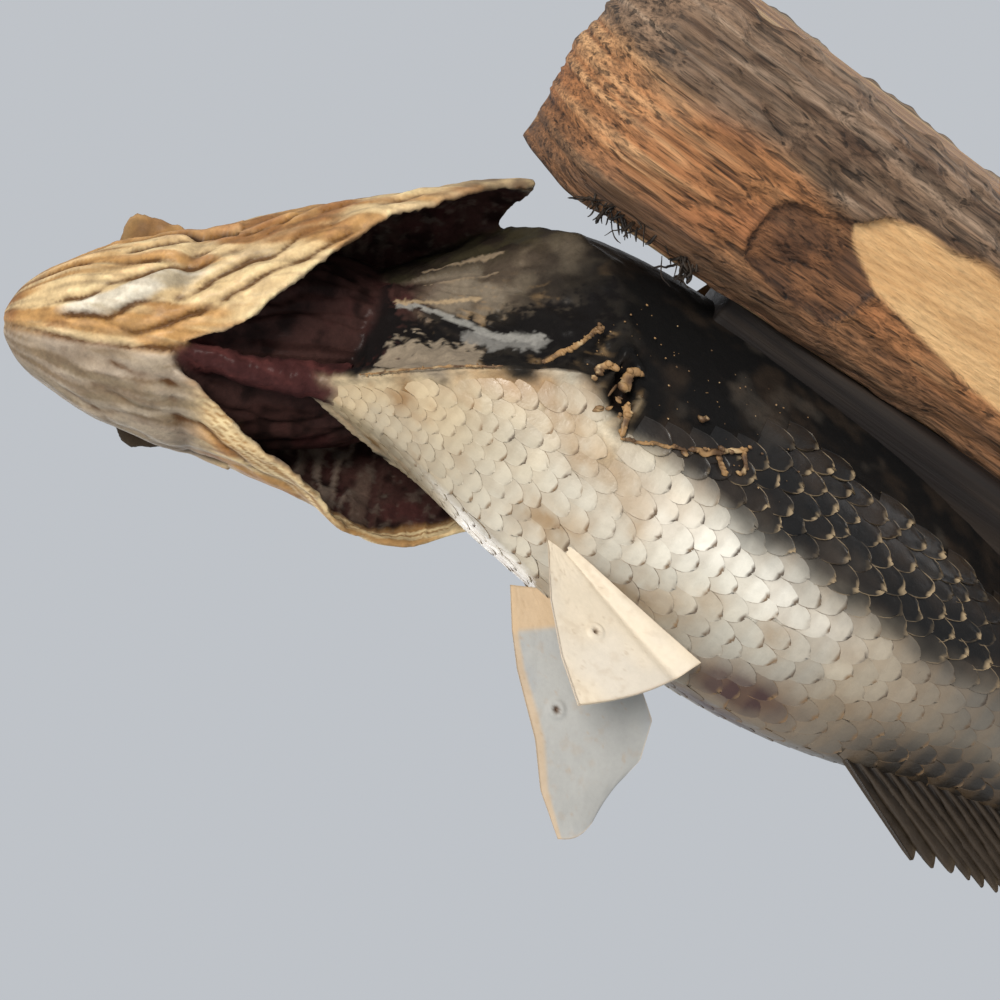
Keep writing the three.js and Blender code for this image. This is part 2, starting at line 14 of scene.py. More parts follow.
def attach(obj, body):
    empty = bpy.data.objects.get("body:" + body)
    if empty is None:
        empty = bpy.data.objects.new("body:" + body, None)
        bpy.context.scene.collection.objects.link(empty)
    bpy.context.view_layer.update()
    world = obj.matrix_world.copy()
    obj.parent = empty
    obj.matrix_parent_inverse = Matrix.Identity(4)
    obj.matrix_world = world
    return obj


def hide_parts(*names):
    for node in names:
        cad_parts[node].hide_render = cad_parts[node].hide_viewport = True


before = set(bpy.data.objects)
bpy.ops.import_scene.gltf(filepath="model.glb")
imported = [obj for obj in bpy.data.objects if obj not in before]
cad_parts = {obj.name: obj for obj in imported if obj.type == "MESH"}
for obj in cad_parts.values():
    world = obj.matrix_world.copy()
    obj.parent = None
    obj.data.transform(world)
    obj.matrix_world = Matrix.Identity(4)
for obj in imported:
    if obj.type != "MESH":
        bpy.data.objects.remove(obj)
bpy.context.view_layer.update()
rng = np.random.default_rng(23)

# ---- placing, as in the solids ------------------------------------------------------------
AXIS_TO_WALL = 105
CHIN_AHEAD_OF_CENTRE = 273
AXIS_BELOW_CENTRE = 64
BELLY_ROLL = 24
HEAD_SCALE = 0.93
HEAD_YAW, HEAD_DROOP, HEAD_TWIST = -19.0, 21.6, 38.4
CHIN_AT = (-10.8, -44.8, -48.2)

# ---- camera, in row millimetres -------------------------------------------------------------
CAMERA_AT = (157.12, 6.77, -335.53)
CAMERA_RIGHT = (-0.82134, 0.53297, 0.19632)
CAMERA_UP = (0.55919, 0.69820, 0.44397)
CAMERA_BACK = (0.09955, 0.47538, -0.87408)
FOCAL_PIXELS = 1072
IMAGE_PIXELS = 1000
SENSOR = 36
CLIP_NEAR = 0.01
FLOOR_LEVEL = -1300
FLOOR_REACH = 30000

# station, top, bottom, half width, sideways shift
BODY = np.array([
    [82, 26, -37, 26, -10], [98, 35, -40, 32, -5], [112, 40, -42.5, 35.5, -2], [125, 46, -46, 38, 0],
    [150, 53, -51.5, 40, 0], [190, 56, -56, 41, 0], [235, 53.5, -52.5, 38.5, 0], [290, 42, -36, 29, 0],
    [330, 31, -27, 20.5, 0], [370, 24, -22.5, 13.5, 0], [400, 23, -21.5, 7.5, 0]], float)
KEEL = 0.4
BODY_FROM, BODY_TO = 82, 400
GIRDLE_BELLY, GIRDLE_SIDE, GIRDLE_NAPE, GIRDLE_TURN = 82, 146, 98, 68
# station, top, bottom, half width
HEAD = np.array([
    [0, -1, -8, 4], [5, 4, -13.5, 11], [13, 9, -18.5, 17], [25, 15.5, -24, 23.5], [40, 22, -28.5, 28],
    [50, 26, -30.5, 31], [56, 28, -27, 31.5], [62, 30, -22, 32], [72, 33, -17, 31], [84, 36, -15, 29.5],
    [96, 38, -11, 28],
    [104, 37, -8, 25.5]], float)
HEAD_FULLNESS = 2.3
# station, out, down, lower edge, upper edge (degrees from under the throat)
COVER_LEFT = np.array([
    [46, 28.5, 28.5, 2, 96], [52, 30.5, 30.5, 4, 112], [58, 33.5, 32, 7, 118], [70, 38, 35, 16, 130],
    [84, 42, 36, 30, 144], [96, 45.5, 35, 46, 154], [110, 49, 34, 58, 156], [126, 54, 31, 68, 148],
    [134, 56, 28, 74, 132], [140, 56.5, 26.5, 78, 117], [144.5, 56.5, 26, 82, 106]])
COVER_RIGHT = np.array([
    [46, 28.5, 28.5, 2, 96], [52, 30.5, 30.5, 5, 112], [58, 33.5, 32, 11, 118], [70, 37.5, 35, 27, 128],
    [84, 41.5, 36, 46, 138], [96, 46, 36, 60, 144], [110, 50, 35, 70, 146], [124, 50, 32, 76, 128],
    [134, 49, 28, 80, 112], [141, 47, 26, 85, 98]])


def along(table, s, k):
    """Smooth value of column k at station s."""
    x, y = table[:, 0], table[:, k]
    s = np.clip(np.asarray(s, float), x[0], x[-1])
    i = np.clip(np.searchsorted(x, s, side="left") - 1, 0, len(x) - 2)
    step = (y[1:] - y[:-1]) / (x[1:] - x[:-1])
    slope = np.concatenate([step[:1], (y[2:] - y[:-2]) / (x[2:] - x[:-2]), step[-1:]])
    h = x[i + 1] - x[i]
    t = (s - x[i]) / h
    return ((2 * t**3 - 3 * t**2 + 1) * y[i] + (t**3 - 2 * t**2 + t) * h * slope[i]
            + (3 * t**2 - 2 * t**3) * y[i + 1] + (t**3 - t**2) * h * slope[i + 1])


def ease(a, b, x):
    """0 at a, 1 at b, smooth between; b may lie below a."""
    t = np.clip((np.asarray(x, float) - a) / (np.asarray(b) - a), 0, 1)
    return t * t * (3 - 2 * t)


def bell(x, middle, width):
    """1 at the middle, fading to 0 over the width."""
    return np.exp(-((x - middle) / width) ** 2)


def hashed(i, j, k, seed):
    h = (i * 374761393 + j * 668265263 + k * 1442695041 + seed * 974634777) & 0xFFFFFFFF
    h = ((h ^ (h >> 13)) * 1274126177) & 0xFFFFFFFF
    return ((h ^ (h >> 16)) & 0xFFFF) / 32767.5 - 1


def noise(p, seed=0):
    """Smooth random field, -1 to 1, one cell per unit."""
    p = np.asarray(p, float)
    cell = np.floor(p).astype(np.int64)
    f = p - cell
    f = f * f * (3 - 2 * f)
    total = 0
    for a in (0, 1):
        for b in (0, 1):
            for c in (0, 1):
                w = (f[..., 0] if a else 1 - f[..., 0]) * (f[..., 1] if b else 1 - f[..., 1]) \
                    * (f[..., 2] if c else 1 - f[..., 2])
                total = total + w * hashed(cell[..., 0] + a, cell[..., 1] + b, cell[..., 2] + c, seed)
    return total


def rough(p, seed=0, octaves=3):
    """Noise with finer noise on it."""
    total, size = 0, 1
    for o in range(octaves):
        total = total + size * noise(np.asarray(p) * 2**o, seed + 7 * o)
        size *= 0.5
    return total


def ridges(p, seed=0):
    """Sharp crests at 1 between rounded valleys."""
    return 1 - 2 * np.abs(noise(p, seed))


def stack(*parts):
    """Coordinates side by side, after broadcasting."""
    return np.stack(np.broadcast_arrays(*parts), -1)


def mix(a, b, t):
    """Share t of colour b in colour a."""
    t = np.asarray(t)[..., None]
    return np.asarray(a) * (1 - t) + np.asarray(b) * t


def lengths(path):
    """Distance run at each point of a path."""
    return np.concatenate([[0], np.cumsum(np.linalg.norm(np.diff(path, axis=0), axis=1))])


def points_along(t, gap, path):
    return np.stack([np.interp(t, gap, path[:, k]) for k in range(path.shape[1])], -1)


def across_from(look):
    """Two directions square to a look."""
    x = np.cross(look, [0, 0, 1.0])
    x /= np.linalg.norm(x)
    return x, np.cross(look, x)


# ---- frames -------------------------------------------------------------------------------
def rotation(degrees, axis):
    return np.array(Matrix.Rotation(math.radians(degrees), 3, axis))


ROLL = rotation(-BELLY_ROLL, "X")
ROW_SHIFT = np.array([CHIN_AHEAD_OF_CENTRE, -AXIS_TO_WALL, -AXIS_BELOW_CENTRE], float)
HEAD_TURN = rotation(HEAD_YAW, "Z") @ rotation(HEAD_DROOP, "Y") @ rotation(HEAD_TWIST, "X")
CHIN = np.array(CHIN_AT)


def body_to_row(p):
    return p @ ROLL.T + ROW_SHIFT


def row_to_body(p):
    return (p - ROW_SHIFT) @ ROLL


def head_to_body(p):
    return HEAD_SCALE * (p @ HEAD_TURN.T) + CHIN


def body_to_head(p):
    return (p - CHIN) @ HEAD_TURN / HEAD_SCALE


# ---- surfaces -----------------------------------------------------------------------------
def body_point(s, angle, grow=0):
    """Point on the body at a station and an angle from the back over the left side."""
    top, bottom = along(BODY, s, 1) + grow, along(BODY, s, 2) - grow
    half = along(BODY, s, 3) + grow
    c, side = np.cos(angle), np.sin(angle)
    y = along(BODY, s, 4) + half * np.sign(side) * np.abs(side) ** (1 + KEEL * np.maximum(0, -c) ** 2)
    return stack(-s, y, (top + bottom) / 2 + (top - bottom) / 2 * c)


def head_point(s, angle):
    """Point on the head, in its own frame, at a station and an angle from its top."""
    top, bottom, half = along(HEAD, s, 1), along(HEAD, s, 2), along(HEAD, s, 3)
    e = 2 / HEAD_FULLNESS
    c, side = np.cos(angle), np.sin(angle)
    return stack(-s, half * np.sign(side) * np.abs(side) ** e,
                 (top + bottom) / 2 + (top - bottom) / 2 * np.sign(c) * np.abs(c) ** e)


def girdle(angle):
    """Front edge of the scaled skin: a point under the throat, back to the pectoral fin, up to the nape."""
    from_belly = np.abs(180 - np.degrees(angle) % 360)
    low = GIRDLE_BELLY + (GIRDLE_SIDE - GIRDLE_BELLY) * (np.minimum(from_belly, GIRDLE_TURN)
            / GIRDLE_TURN) ** 1.5
    high = GIRDLE_SIDE - (GIRDLE_SIDE - GIRDLE_NAPE) * ease(GIRDLE_TURN, 180, from_belly)
    return np.where(from_belly < GIRDLE_TURN, low, high)


# ---- meshes -------------------------------------------------------------------------------
def grid_faces(rows, columns, wrap):
    r, c = np.meshgrid(np.arange(rows - 1), np.arange(columns if wrap else columns - 1), indexing="ij")
    a = r * columns + c
    b = r * columns + (c + 1) % columns
    return np.stack([a, b, b + columns, a + columns], -1).reshape(-1, 4)


def closed_loft(rings):
    """Vertices and faces of a skin through rings (rows, columns, 3), shut at both ends."""
    rows, columns = rings.shape[:2]
    points = np.concatenate([rings.reshape(-1, 3), rings[0].mean(0)[None], rings[-1].mean(0)[None]])
    faces = [tuple(f) for f in grid_faces(rows, columns, True)]
    first, last, base = rows * columns, rows * columns + 1, (rows - 1) * columns
    for i in range(columns):
        j = (i + 1) % columns
        faces.append((j, i, first))
        faces.append((base + i, base + j, last))
    return points, faces


def joined(parts):
    """Vertices and faces of several parts as one."""
    points, faces, start = [], [], 0
    for p, f in parts:
        points.append(p)
        faces += [tuple(i + start for i in face) for face in f]
        start += len(p)
    return np.concatenate(points), faces


def in_row(points, faces):
    """Body millimetres to row millimetres."""
    return body_to_row(points), faces


def mesh(name, points, faces):
    """A piece from row millimetres."""
    data = bpy.data.meshes.new(name)
    data.from_pydata((np.asarray(points) * 0.001).tolist(), [],
                     faces.tolist() if isinstance(faces, np.ndarray) else faces)
    data.validate()
    data.update()
    obj = bpy.data.objects.new(name, data)
    bpy.context.scene.collection.objects.link(obj)
    data.polygons.foreach_set("use_smooth", [True] * len(data.polygons))
    return obj


def read(items, key, width, kind=float):
    flat = np.empty(len(items) * width, kind)
    items.foreach_get(key, flat)
    return flat.reshape(-1, width)


def positions(obj):
    return read(obj.data.vertices, "co", 3) * 1000


def normals(obj):
    return read(obj.data.vertex_normals, "vector", 3)


def loop_corners(obj):
    return read(obj.data.loops, "vertex_index", 1, int)[:, 0]


def place(obj, points):
    obj.data.vertices.foreach_set("co", (points * 0.001).ravel())
    obj.data.update()


def paint(obj, name, values):
    """A number or a colour on each vertex."""
    values = np.asarray(values, float)
    if values.ndim == 1:
        layer = obj.data.attributes.new(name, "FLOAT", "POINT")
        layer.data.foreach_set("value", values)
    else:
        layer = obj.data.color_attributes.new(name, "FLOAT_COLOR", "POINT")
        full = np.ones((len(values), 4))
        full[:, :3] = values
        layer.data.foreach_set("color", full.ravel())


def spread(edges, count, values, rounds):
    """Averages values over the mesh's edges."""
    values = np.asarray(values, float)
    shape = values.shape
    values = values.reshape(count, -1).copy()
    degree = np.bincount(edges.ravel(), minlength=count) + 1
    for _ in range(rounds):
        for k in range(values.shape[1]):
            v = values[:, k]
            total = v + np.bincount(edges[:, 0], v[edges[:, 1]], count) \
                + np.bincount(edges[:, 1], v[edges[:, 0]], count)
            values[:, k] = total / degree
    return values.reshape(shape)


# ---- materials ----------------------------------------------------------------------------
class Nodes:
    """A material's node tree, built one line per node."""

    def __init__(self, name):
        self.material = bpy.data.materials.new(name)
        self.material.use_nodes = True
        self.tree = self.material.node_tree
        self.shader = self.tree.nodes["Principled BSDF"]

    def new(self, kind, values=None, links=None, **settings):
        node = self.tree.nodes.new(kind)
        for key, value in settings.items():
            setattr(node, key, value)
        for key, value in (values or {}).items():
            node.inputs[key].default_value = value
        for key, source in (links or {}).items():
            self.tree.links.new(source, node.inputs[key])
        return node

    def link(self, source, socket):
        self.tree.links.new(source, self.shader.inputs[socket])

    def attribute(self, name, output="Color"):
        return self.new("ShaderNodeAttribute", attribute_name=name).outputs[output]

    def coords(self, stretch=(1, 1, 1)):
        source = self.new("ShaderNodeTexCoord").outputs["Object"]
        return self.new("ShaderNodeMapping", {"Scale": stretch}, {"Vector": source}).outputs["Vector"]

    def noise(self, vector, scale, detail=3, roughness=0.5, distortion=0.0):
        return self.new("ShaderNodeTexNoise", {"Scale": scale, "Detail": detail, "Roughness": roughness,
                                               "Distortion": distortion}, {"Vector": vector}).outputs["Fac"]

    def ramp(self, source, stops):
        node = self.new("ShaderNodeValToRGB", links={"Fac": source})
        elements = node.color_ramp.elements
        while len(elements) < len(stops):
            elements.new(0.5)
        for element, (at, colour) in zip(elements, stops):
            element.position = at
            element.color = (*colour, 1) if isinstance(colour, tuple) else (colour, colour, colour, 1)
        return node.outputs["Color"]

    def blend(self, kind, a, b, amount):
        node = self.new("ShaderNodeMix", data_type="RGBA", blend_type=kind)
        for socket, value in ((node.inputs[0], amount), (node.inputs[6], a), (node.inputs[7], b)):
            if isinstance(value, (int, float)):
                socket.default_value = value
            elif isinstance(value, tuple):
                socket.default_value = (*value, 1)
            else:
                self.tree.links.new(value, socket)
        return node.outputs[2]

    def maths(self, operation, a, b=0.0):
        node = self.new("ShaderNodeMath", operation=operation)
        for socket, value in zip(node.inputs, (a, b)):
            if isinstance(value, (int, float)):
                socket.default_value = value
            else:
                self.tree.links.new(value, socket)
        return node.outputs[0]

    def bump(self, height, strength, distance, below=None):
        links = {"Height": height}
        if below is not None:
            links["Normal"] = below
        return self.new("ShaderNodeBump", {"Strength": strength, "Distance": distance},
                links).outputs["Normal"]

    def finish(self, **values):
        for key, value in values.items():
            self.shader.inputs[key.replace("_", " ")].default_value = value
        return self.material


def finish_piece(obj, material, slot, *replaced):
    """Material, body and the nodes a piece stands in for; the slot argument is not used."""
    obj.data.materials.clear()
    obj.data.materials.append(material)
    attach(obj, "root")
    if replaced:
        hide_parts(*replaced)


# ---- camera, light, floor -----------------------------------------------------------------
# in metres: the place all lamps face; then name, place, width, watts, colour of each
LIT = (0.08, -0.1, -0.06)
LAMPS = [("key_below", (0.62, 0.42, -0.85), 0.45, 11.5, (1.0, 0.955, 0.89)),
         ("fill_below", (0.5, -0.9, -0.8), 0.7, 1.2, (0.95, 0.97, 1.0)),
         ("room_front", (0.3, -1.7, 0.7), 1.2, 11, (1.0, 0.98, 0.96)),
         ("room_top", (-0.2, -0.3, 1.5), 1.2, 8, (0.95, 0.97, 1.0)),
         ("room_back", (-0.9, 1.5, 0.7), 1.0, 7, (0.97, 0.98, 1.0))]
ROOM_LIGHT = (0.52, 0.545, 0.58)


def set_stage():
    """Camera, lamps, room light and floor."""
    camera = bpy.data.objects.new("camera", bpy.data.cameras.new("camera"))
    bpy.context.scene.collection.objects.link(camera)
    camera.data.sensor_width = SENSOR
    camera.data.lens = FOCAL_PIXELS / IMAGE_PIXELS * SENSOR
    camera.data.clip_start = CLIP_NEAR
    axes = np.array([CAMERA_RIGHT, CAMERA_UP, CAMERA_BACK]).T
    u, _, vt = np.linalg.svd(axes)
    matrix = Matrix(np.array(u @ vt).tolist()).to_4x4()
    matrix.translation = [c * 0.001 for c in CAMERA_AT]
    camera.matrix_world = matrix
    bpy.context.scene.camera = camera

    def area(name, at, size, power, colour):
        light = bpy.data.objects.new(name, bpy.data.lights.new(name, "AREA"))
        light.data.shape = "DISK"
        light.data.size = size
        light.data.energy = power
        light.data.color = colour
        aim = np.array(LIT, float) - np.array(at, float)
        light.rotation_mode = "QUATERNION"
        light.rotation_quaternion = Vector(aim).to_track_quat("-Z", "Y")
        light.location = at
        bpy.context.scene.collection.objects.link(light)

    for lamp in LAMPS:
        area(*lamp)
    world = bpy.data.worlds.new("room")
    world.use_nodes = True
    world.node_tree.nodes["Background"].inputs["Color"].default_value = (*ROOM_LIGHT, 1)
    world.node_tree.nodes["Background"].inputs["Strength"].default_value = 1.0
    bpy.context.scene.world = world
    bpy.context.scene.view_settings.view_transform = "Standard"
    reach, level = FLOOR_REACH, FLOOR_LEVEL
    floor = mesh("floor", [(-reach, -reach, level), (reach, -reach, level), (reach, reach, level),
                           (-reach, reach, level)], [(0, 1, 2, 3)])
    shade = Nodes("floor_pale")
    speck = shade.noise(shade.coords(), 3.0)
    shade.link(shade.ramp(speck, [(0.3, (0.84, 0.84, 0.83)), (0.7, (0.87, 0.87, 0.86))]), "Base Color")
    floor.data.materials.append(shade.finish(Roughness=0.9))


set_stage()

# ---- colours (linear) -----------------------------------------------------------------------
WHITE = (0.62, 0.57, 0.46)
WHITE_COOL = (0.52, 0.505, 0.45)
OCHRE = np.array([0.36, 0.225, 0.11])
STAIN = (0.30, 0.185, 0.075)
BLACK = np.array([0.0045, 0.0042, 0.0042])
BLACK_BROWN = (0.020, 0.014, 0.010)
GREY_BROWN = np.array([0.15, 0.125, 0.10])
TAN_EDGE = (0.33, 0.245, 0.145)
GOLD = np.array([0.43, 0.235, 0.080])
CREAM = np.array([0.71, 0.555, 0.31])
SILVER = np.array([0.56, 0.52, 0.43])
FOLD_BROWN = np.array([0.085, 0.036, 0.012])
CHAMBER = np.array([0.045, 0.020, 0.017])
CHAMBER_RED = np.array([0.060, 0.019, 0.018])
OLIVE = np.array([0.045, 0.037, 0.020])
VENT_TAN = (0.30, 0.20, 0.12)
# dark brown of the lower belly, partly its own colour and partly painted shade
BELLY_DARK_AND_SHADE = (0.045, 0.032, 0.023)
FADED_INK = (0.16, 0.13, 0.10)
# painted highlight colour for the flank below the black
PAINTED_HIGHLIGHT = (0.90, 0.89, 0.85)
VENT_RED = (0.036, 0.010, 0.009)
# painted shade inside the torn fin hole
HOLE_SHADE = (0.012, 0.007, 0.005)
LIP_LINE = (0.02, 0.012, 0.008)
RAKER = (0.20, 0.15, 0.115)
LIP_NUB = (0.022, 0.015, 0.011)
COVER_TIP = (0.07, 0.042, 0.028)
WALL_TAN = (0.17, 0.135, 0.095)
WALL_BROWN = (0.075, 0.056, 0.040)
WALL_CREST = (0.20, 0.155, 0.105)
CRUST_PALE = (0.34, 0.25, 0.17)
FLECK = (0.30, 0.19, 0.09)
ISTHMUS_RED = (0.12, 0.036, 0.032)
RIM_OCHRE = (0.20, 0.115, 0.048)
RIM_BROWN = (0.080, 0.056, 0.036)
RIM_INK = (0.035, 0.026, 0.02)
IRIS_GOLD = (0.42, 0.25, 0.06)
IRIS_BROWN = (0.10, 0.045, 0.012)
IRIS_RING = (0.62, 0.44, 0.14)
PUPIL = (0.004, 0.004, 0.005)
EYE_RIM = (0.02, 0.013, 0.01)
WEB_OLIVE = (0.055, 0.040, 0.024)
WEB_BLACK = (0.012, 0.009, 0.007)
RAY_TAN = (0.26, 0.17, 0.085)
RAY_DARK = (0.040, 0.028, 0.018)
FRAYED = (0.30, 0.21, 0.11)
CARD_WARM = (0.66, 0.57, 0.44)
CARD_COOL = (0.60, 0.54, 0.45)
CARD_TAN = (0.50, 0.36, 0.22)
CARD_DUST = (0.34, 0.23, 0.13)
PIN_HOLE = (0.10, 0.055, 0.03)
CARD_RIM = (0.42, 0.31, 0.20)
TORN_ORANGE = (0.36, 0.21, 0.09)
TORN_BROWN = (0.10, 0.055, 0.028)
TORN_PALE = (0.52, 0.37, 0.20)
WOOD_RED = (0.30, 0.115, 0.045)
WOOD_ORANGE = (0.31, 0.135, 0.052)
WOOD_TAN = (0.50, 0.29, 0.14)
WOOD_DARK = np.array([0.060, 0.024, 0.010])
GREY_PALE = (0.170, 0.115, 0.076)
GREY_DARK = (0.050, 0.033, 0.022)
GREY_CREST = (0.34, 0.26, 0.19)
DULL_PALE = (0.24, 0.115, 0.052)
DULL_DARK = (0.105, 0.056, 0.030)
CHIP_PALE = (0.17, 0.075, 0.032)
CHIP_DARK = (0.070, 0.032, 0.016)
SAWN_PALE = (0.72, 0.46, 0.22)
SAWN_LINE = (0.52, 0.29, 0.12)
PLANK_PALE = (0.42, 0.235, 0.105)
PLANK_DARK = (0.24, 0.115, 0.048)
SAPWOOD = (0.55, 0.38, 0.20)
END_PALE = (0.40, 0.24, 0.12)
END_DARK = (0.20, 0.10, 0.045)
BARK = (0.030, 0.020, 0.013)
BARK_DARK = (0.008, 0.006, 0.005)
# near-black spacer colours, partly painted shade between board and fish
SPACER = (0.024, 0.016, 0.011)
SPACER_DARK = (0.009, 0.006, 0.005)

# station, degrees from the back, length, width in degrees, strength
STAINS = [(108, 164, 3.0, 3.5, 0.95), (126, 139, 7, 4, 0.6), (137, 134, 7, 5, 0.6), (143, 139, 9, 6, 0.55),
          (156, 143, 9, 6, 0.6), (152, 166, 6, 5, 0.75), (158, 163, 5, 4, 0.6), (168, 146, 7, 6, 0.45),
          (172, 151, 3, 3, 0.6), (186, 163, 9, 4, 0.5), (180, 169, 9, 4, 0.55), (192, 174, 9, 3, 0.6),
          (203, 176, 7, 2.5, 0.5), (196, 156, 4, 4, 0.45), (214, 153, 3.5, 4, 0.55), (232, 146, 4, 4, 0.45),
          (240, 162, 9, 5, 0.3), (176, 140, 6, 4, 0.45)]


# station, share of the white left in red, green and blue: painted shade darkens the white towards the tail,
# and the front is duller and yellower
ALONG_SHADE = np.array([[80, 0.74, 0.63, 0.48], [105, 0.74, 0.63, 0.48], [125, 0.78, 0.69, 0.56],
                 [145, 0.95, 0.90, 0.82], [165, 1.0, 0.96, 0.90], [200, 1.0, 0.98, 0.93],
                 [222, 0.74, 0.70, 0.65], [250, 0.38, 0.34, 0.31], [275, 0.22, 0.20, 0.18],
                 [400, 0.24, 0.21, 0.19]])


def dark_amount(s, degrees_from_back):
    """How black the back is at a station: 1 on the back, 0 on the belly."""
    edge = np.interp(s, [140, 150, 156, 161, 166, 172, 184, 194, 211, 226, 247, 272, 300, 400],
                     [122, 129, 132, 130, 129, 128.5, 130.5, 132, 133.5, 133, 132, 126, 121, 99])
    p = stack(s / 9, degrees_from_back / 7, 0 * s)
    ragged = edge + (0.8 + 2.0 * ease(168, 190, s)) * rough(p, 3)
    return 1 - ease(-4 - 2 * ease(170, 190, s), 4 + 5 * ease(170, 190, s), degrees_from_back - ragged)


def marking(s, degrees_from_back, p):
    """Skin colour on the body, shared by skin and scales, with a painted highlight along the flank and
    painted shade towards the tail.
    """
    d = degrees_from_back
    white = mix(WHITE, WHITE_COOL, ease(-0.4, 0.5, rough(p / 22, 5)))
    smudge = ease(0.25, 0.9, rough(p / 9, 9)) * 0.35 + 0.55 * bell(d, 124, 9) * ease(-0.3, 0.6,
            rough(p / 6, 12))
    smudge = smudge + 0.5 * ease(0.5, 0.9, rough(p / 5, 15)) * ease(150, 120, s)
    colour = mix(white, OCHRE * 1.1, np.clip(0.7 * smudge, 0, 0.55))
    colour = mix(colour, VENT_TAN, 0.5 * bell(s, 222, 22) * ease(160, 172, d))
    # dark brown along the lower belly towards the tail: partly the fish's own colour, partly painted shade
    belly_dark_and_shade = ease(240, 268, s) * ease(152, 170, d + 4 * rough(p / 14, 6))
    colour = mix(colour, BELLY_DARK_AND_SHADE, 0.85 * belly_dark_and_shade)
    for at, angle, long, wide, strength in STAINS:
        spot = np.exp(-((s - at) / long) ** 2 - ((d - angle) / wide) ** 2)
        colour = mix(colour, STAIN, strength * np.clip(spot * (1.2 + 0.9 * rough(p / 3, 8)), 0, 1))
    fade = bell(d, 126, 7) * ease(150, 175, s) * ease(-0.7, 0.5, rough(p / 5, 7))
    colour = mix(colour, FADED_INK, 0.5 * fade)
    # painted highlight: a pale silvery band along the flank just below the black
    painted_highlight = bell(d, 142, 9) * ease(160, 180, s) * ease(250, 215, s) * (0.65 + 0.35 * rough(p / 6, 10))
    colour = mix(colour, PAINTED_HIGHLIGHT, 0.6 * painted_highlight)
    shoulder = bell(s - girdle(np.radians(d - 9.5 * bell(d, 145, 38))), 3, 6) * ease(112, 130,
            d) * ease(172, 160, d)
    colour = mix(colour, OCHRE * 1.25, 0.55 * shoulder * ease(-0.7, 0.3, rough(p / 7, 11)))
    # painted shade darkens the white towards the tail; it is also darker towards the lower belly
    along_shade = np.stack([np.interp(s, ALONG_SHADE[:, 0], ALONG_SHADE[:, k]) for k in (1, 2, 3)], -1)
    colour = colour * along_shade * (1 - 0.45 * ease(152, 172, d) * ease(150, 175, s))[..., None]
    vent = bell(s, 216, 11) * bell(d + 0.08 * (s - 216), 173, 4.5)
    colour = mix(colour, VENT_RED, np.clip(vent * 1.9 + 0.5 * vent * rough(p / 4, 4), 0, 0.95))
    back = mix(BLACK, BLACK_BROWN, ease(-0.2, 0.8, rough(p / 8, 21)))
    back = mix(back, GREY_BROWN, 0.16 * ease(0.35, 0.9, rough(p / 11, 22)))
    return mix(colour, back, dark_amount(s, d))


# ---- skin ---------------------------------------------------------------------------------
SCALE_DEPTH = 1.0
SKIN_GRAIN = 0.0009
MOUTH_CORNER = 62
RING = 120
ANGLES = np.linspace(0, 2 * np.pi, RING, endpoint=False)
TRUNK, WALL, SKULL, OUTSIDE_L, INSIDE_L, OUTSIDE_R, INSIDE_R, ISTHMUS = range(8)


def mouth_height(s):
    """Height of the line of the mouth in the head frame."""
    return -4 - 10 * (np.clip(s, 0, None) / MOUTH_CORNER) ** 1.4


def chamber_rings(count):
    """Wall of the gill chamber, from inside the back of the head out to the girdle."""
    neck = head_point(np.full(RING, 104.0), ANGLES + math.radians(HEAD_TWIST))
    neck[:, 0] = -97
    neck[:, 1] *= 0.93
    neck = head_to_body(neck)
    rim = body_point(girdle(ANGLES) - 0.8, ANGLES, -SCALE_DEPTH)
    middle = stack(rim[:, 0], along(BODY, -rim[:, 0], 4), -4.0)
    low = np.clip(-np.cos(ANGLES) + 0.35, 0, 1)[:, None]
    inner = rim + (middle - rim) * 0.075 * low
    t = np.linspace(0, 1, count)[:, None, None]
    bulge = 1 - (1 - t) ** 3.6
    return neck[None] * (1 - bulge) + inner[None] * bulge


def trunk_rings():
    """Scaled body, from the girdle to the root of the tail."""
    start = girdle(ANGLES)
    low = ease(0.25, -0.3, np.cos(ANGLES))
    near = [body_point(start + (180 - start) * t, ANGLES,
                       -SCALE_DEPTH + 1.9 * low * bell((180 - start) * t, 1.1, 1.3))
            for t in np.linspace(0, 1, 60)]
    far = [body_point(np.full(RING, s), ANGLES, -SCALE_DEPTH) for s in np.arange(182, 400.5, 2)]
    return np.array(near + far)


ROLLED_EDGE = {1: 1.5, -1: 5.0}
COVER_THICK = 2.1


def cover_sheet(table, side, seed):
    """(outer, inner) grids of one gill cover in the head frame."""
    s = np.linspace(table[0, 0], table[-1, 0], 60)[:, None]
    t = np.linspace(0, 1, 44)[None, :]
    ragged = 3.0 * noise(stack(s / 9, 0 * s, 0 * s + seed), 31) * ease(60, 75, s)
    low = np.radians(along(table, s, 3) + ragged)
    high = np.radians(along(table, s, 4) + 2 * noise(stack(s / 7, 0 * s, 0 * s + seed), 33))
    a = low + (high - low) * t
    flare = ROLLED_EDGE[side] * np.clip(1 - t / 0.35, 0, 1) * ease(84, 102, s) * ease(138, 118, s)
    out, down = along(table, s, 1) + flare, along(table, s, 2) + flare
    return [stack(-s + 0 * a, side * (out - inset) * np.sin(a), -(down - inset) * np.cos(a))
            for inset in (0, COVER_THICK)]


def isthmus_rings():
    """Dried strip of throat between the gill chambers."""
    front = head_to_body(np.array([[-54.0, 0, -26.0]]))[0]
    back = body_point(np.array([93.0]), np.array([math.pi]))[0] + np.array([0, 0, 6.5])
    rings = []
    for t in np.linspace(0, 1, 16):
        middle = front + (back - front) * t + np.array([0, 0, -1.5]) * math.sin(math.pi * t)
        r = 3.0 + 3.2 * t**1.5
        a = np.linspace(0, 2 * np.pi, 20, endpoint=False)
        rings.append(middle + np.stack([0 * a, r * (1.35 - 0.5 * t) * np.sin(a), r * np.cos(a)], -1))
    return np.array(rings)


ORBIT_OUT, ORBIT_LOOK = 7.4, np.array([-0.18, 0.88, 0.44])
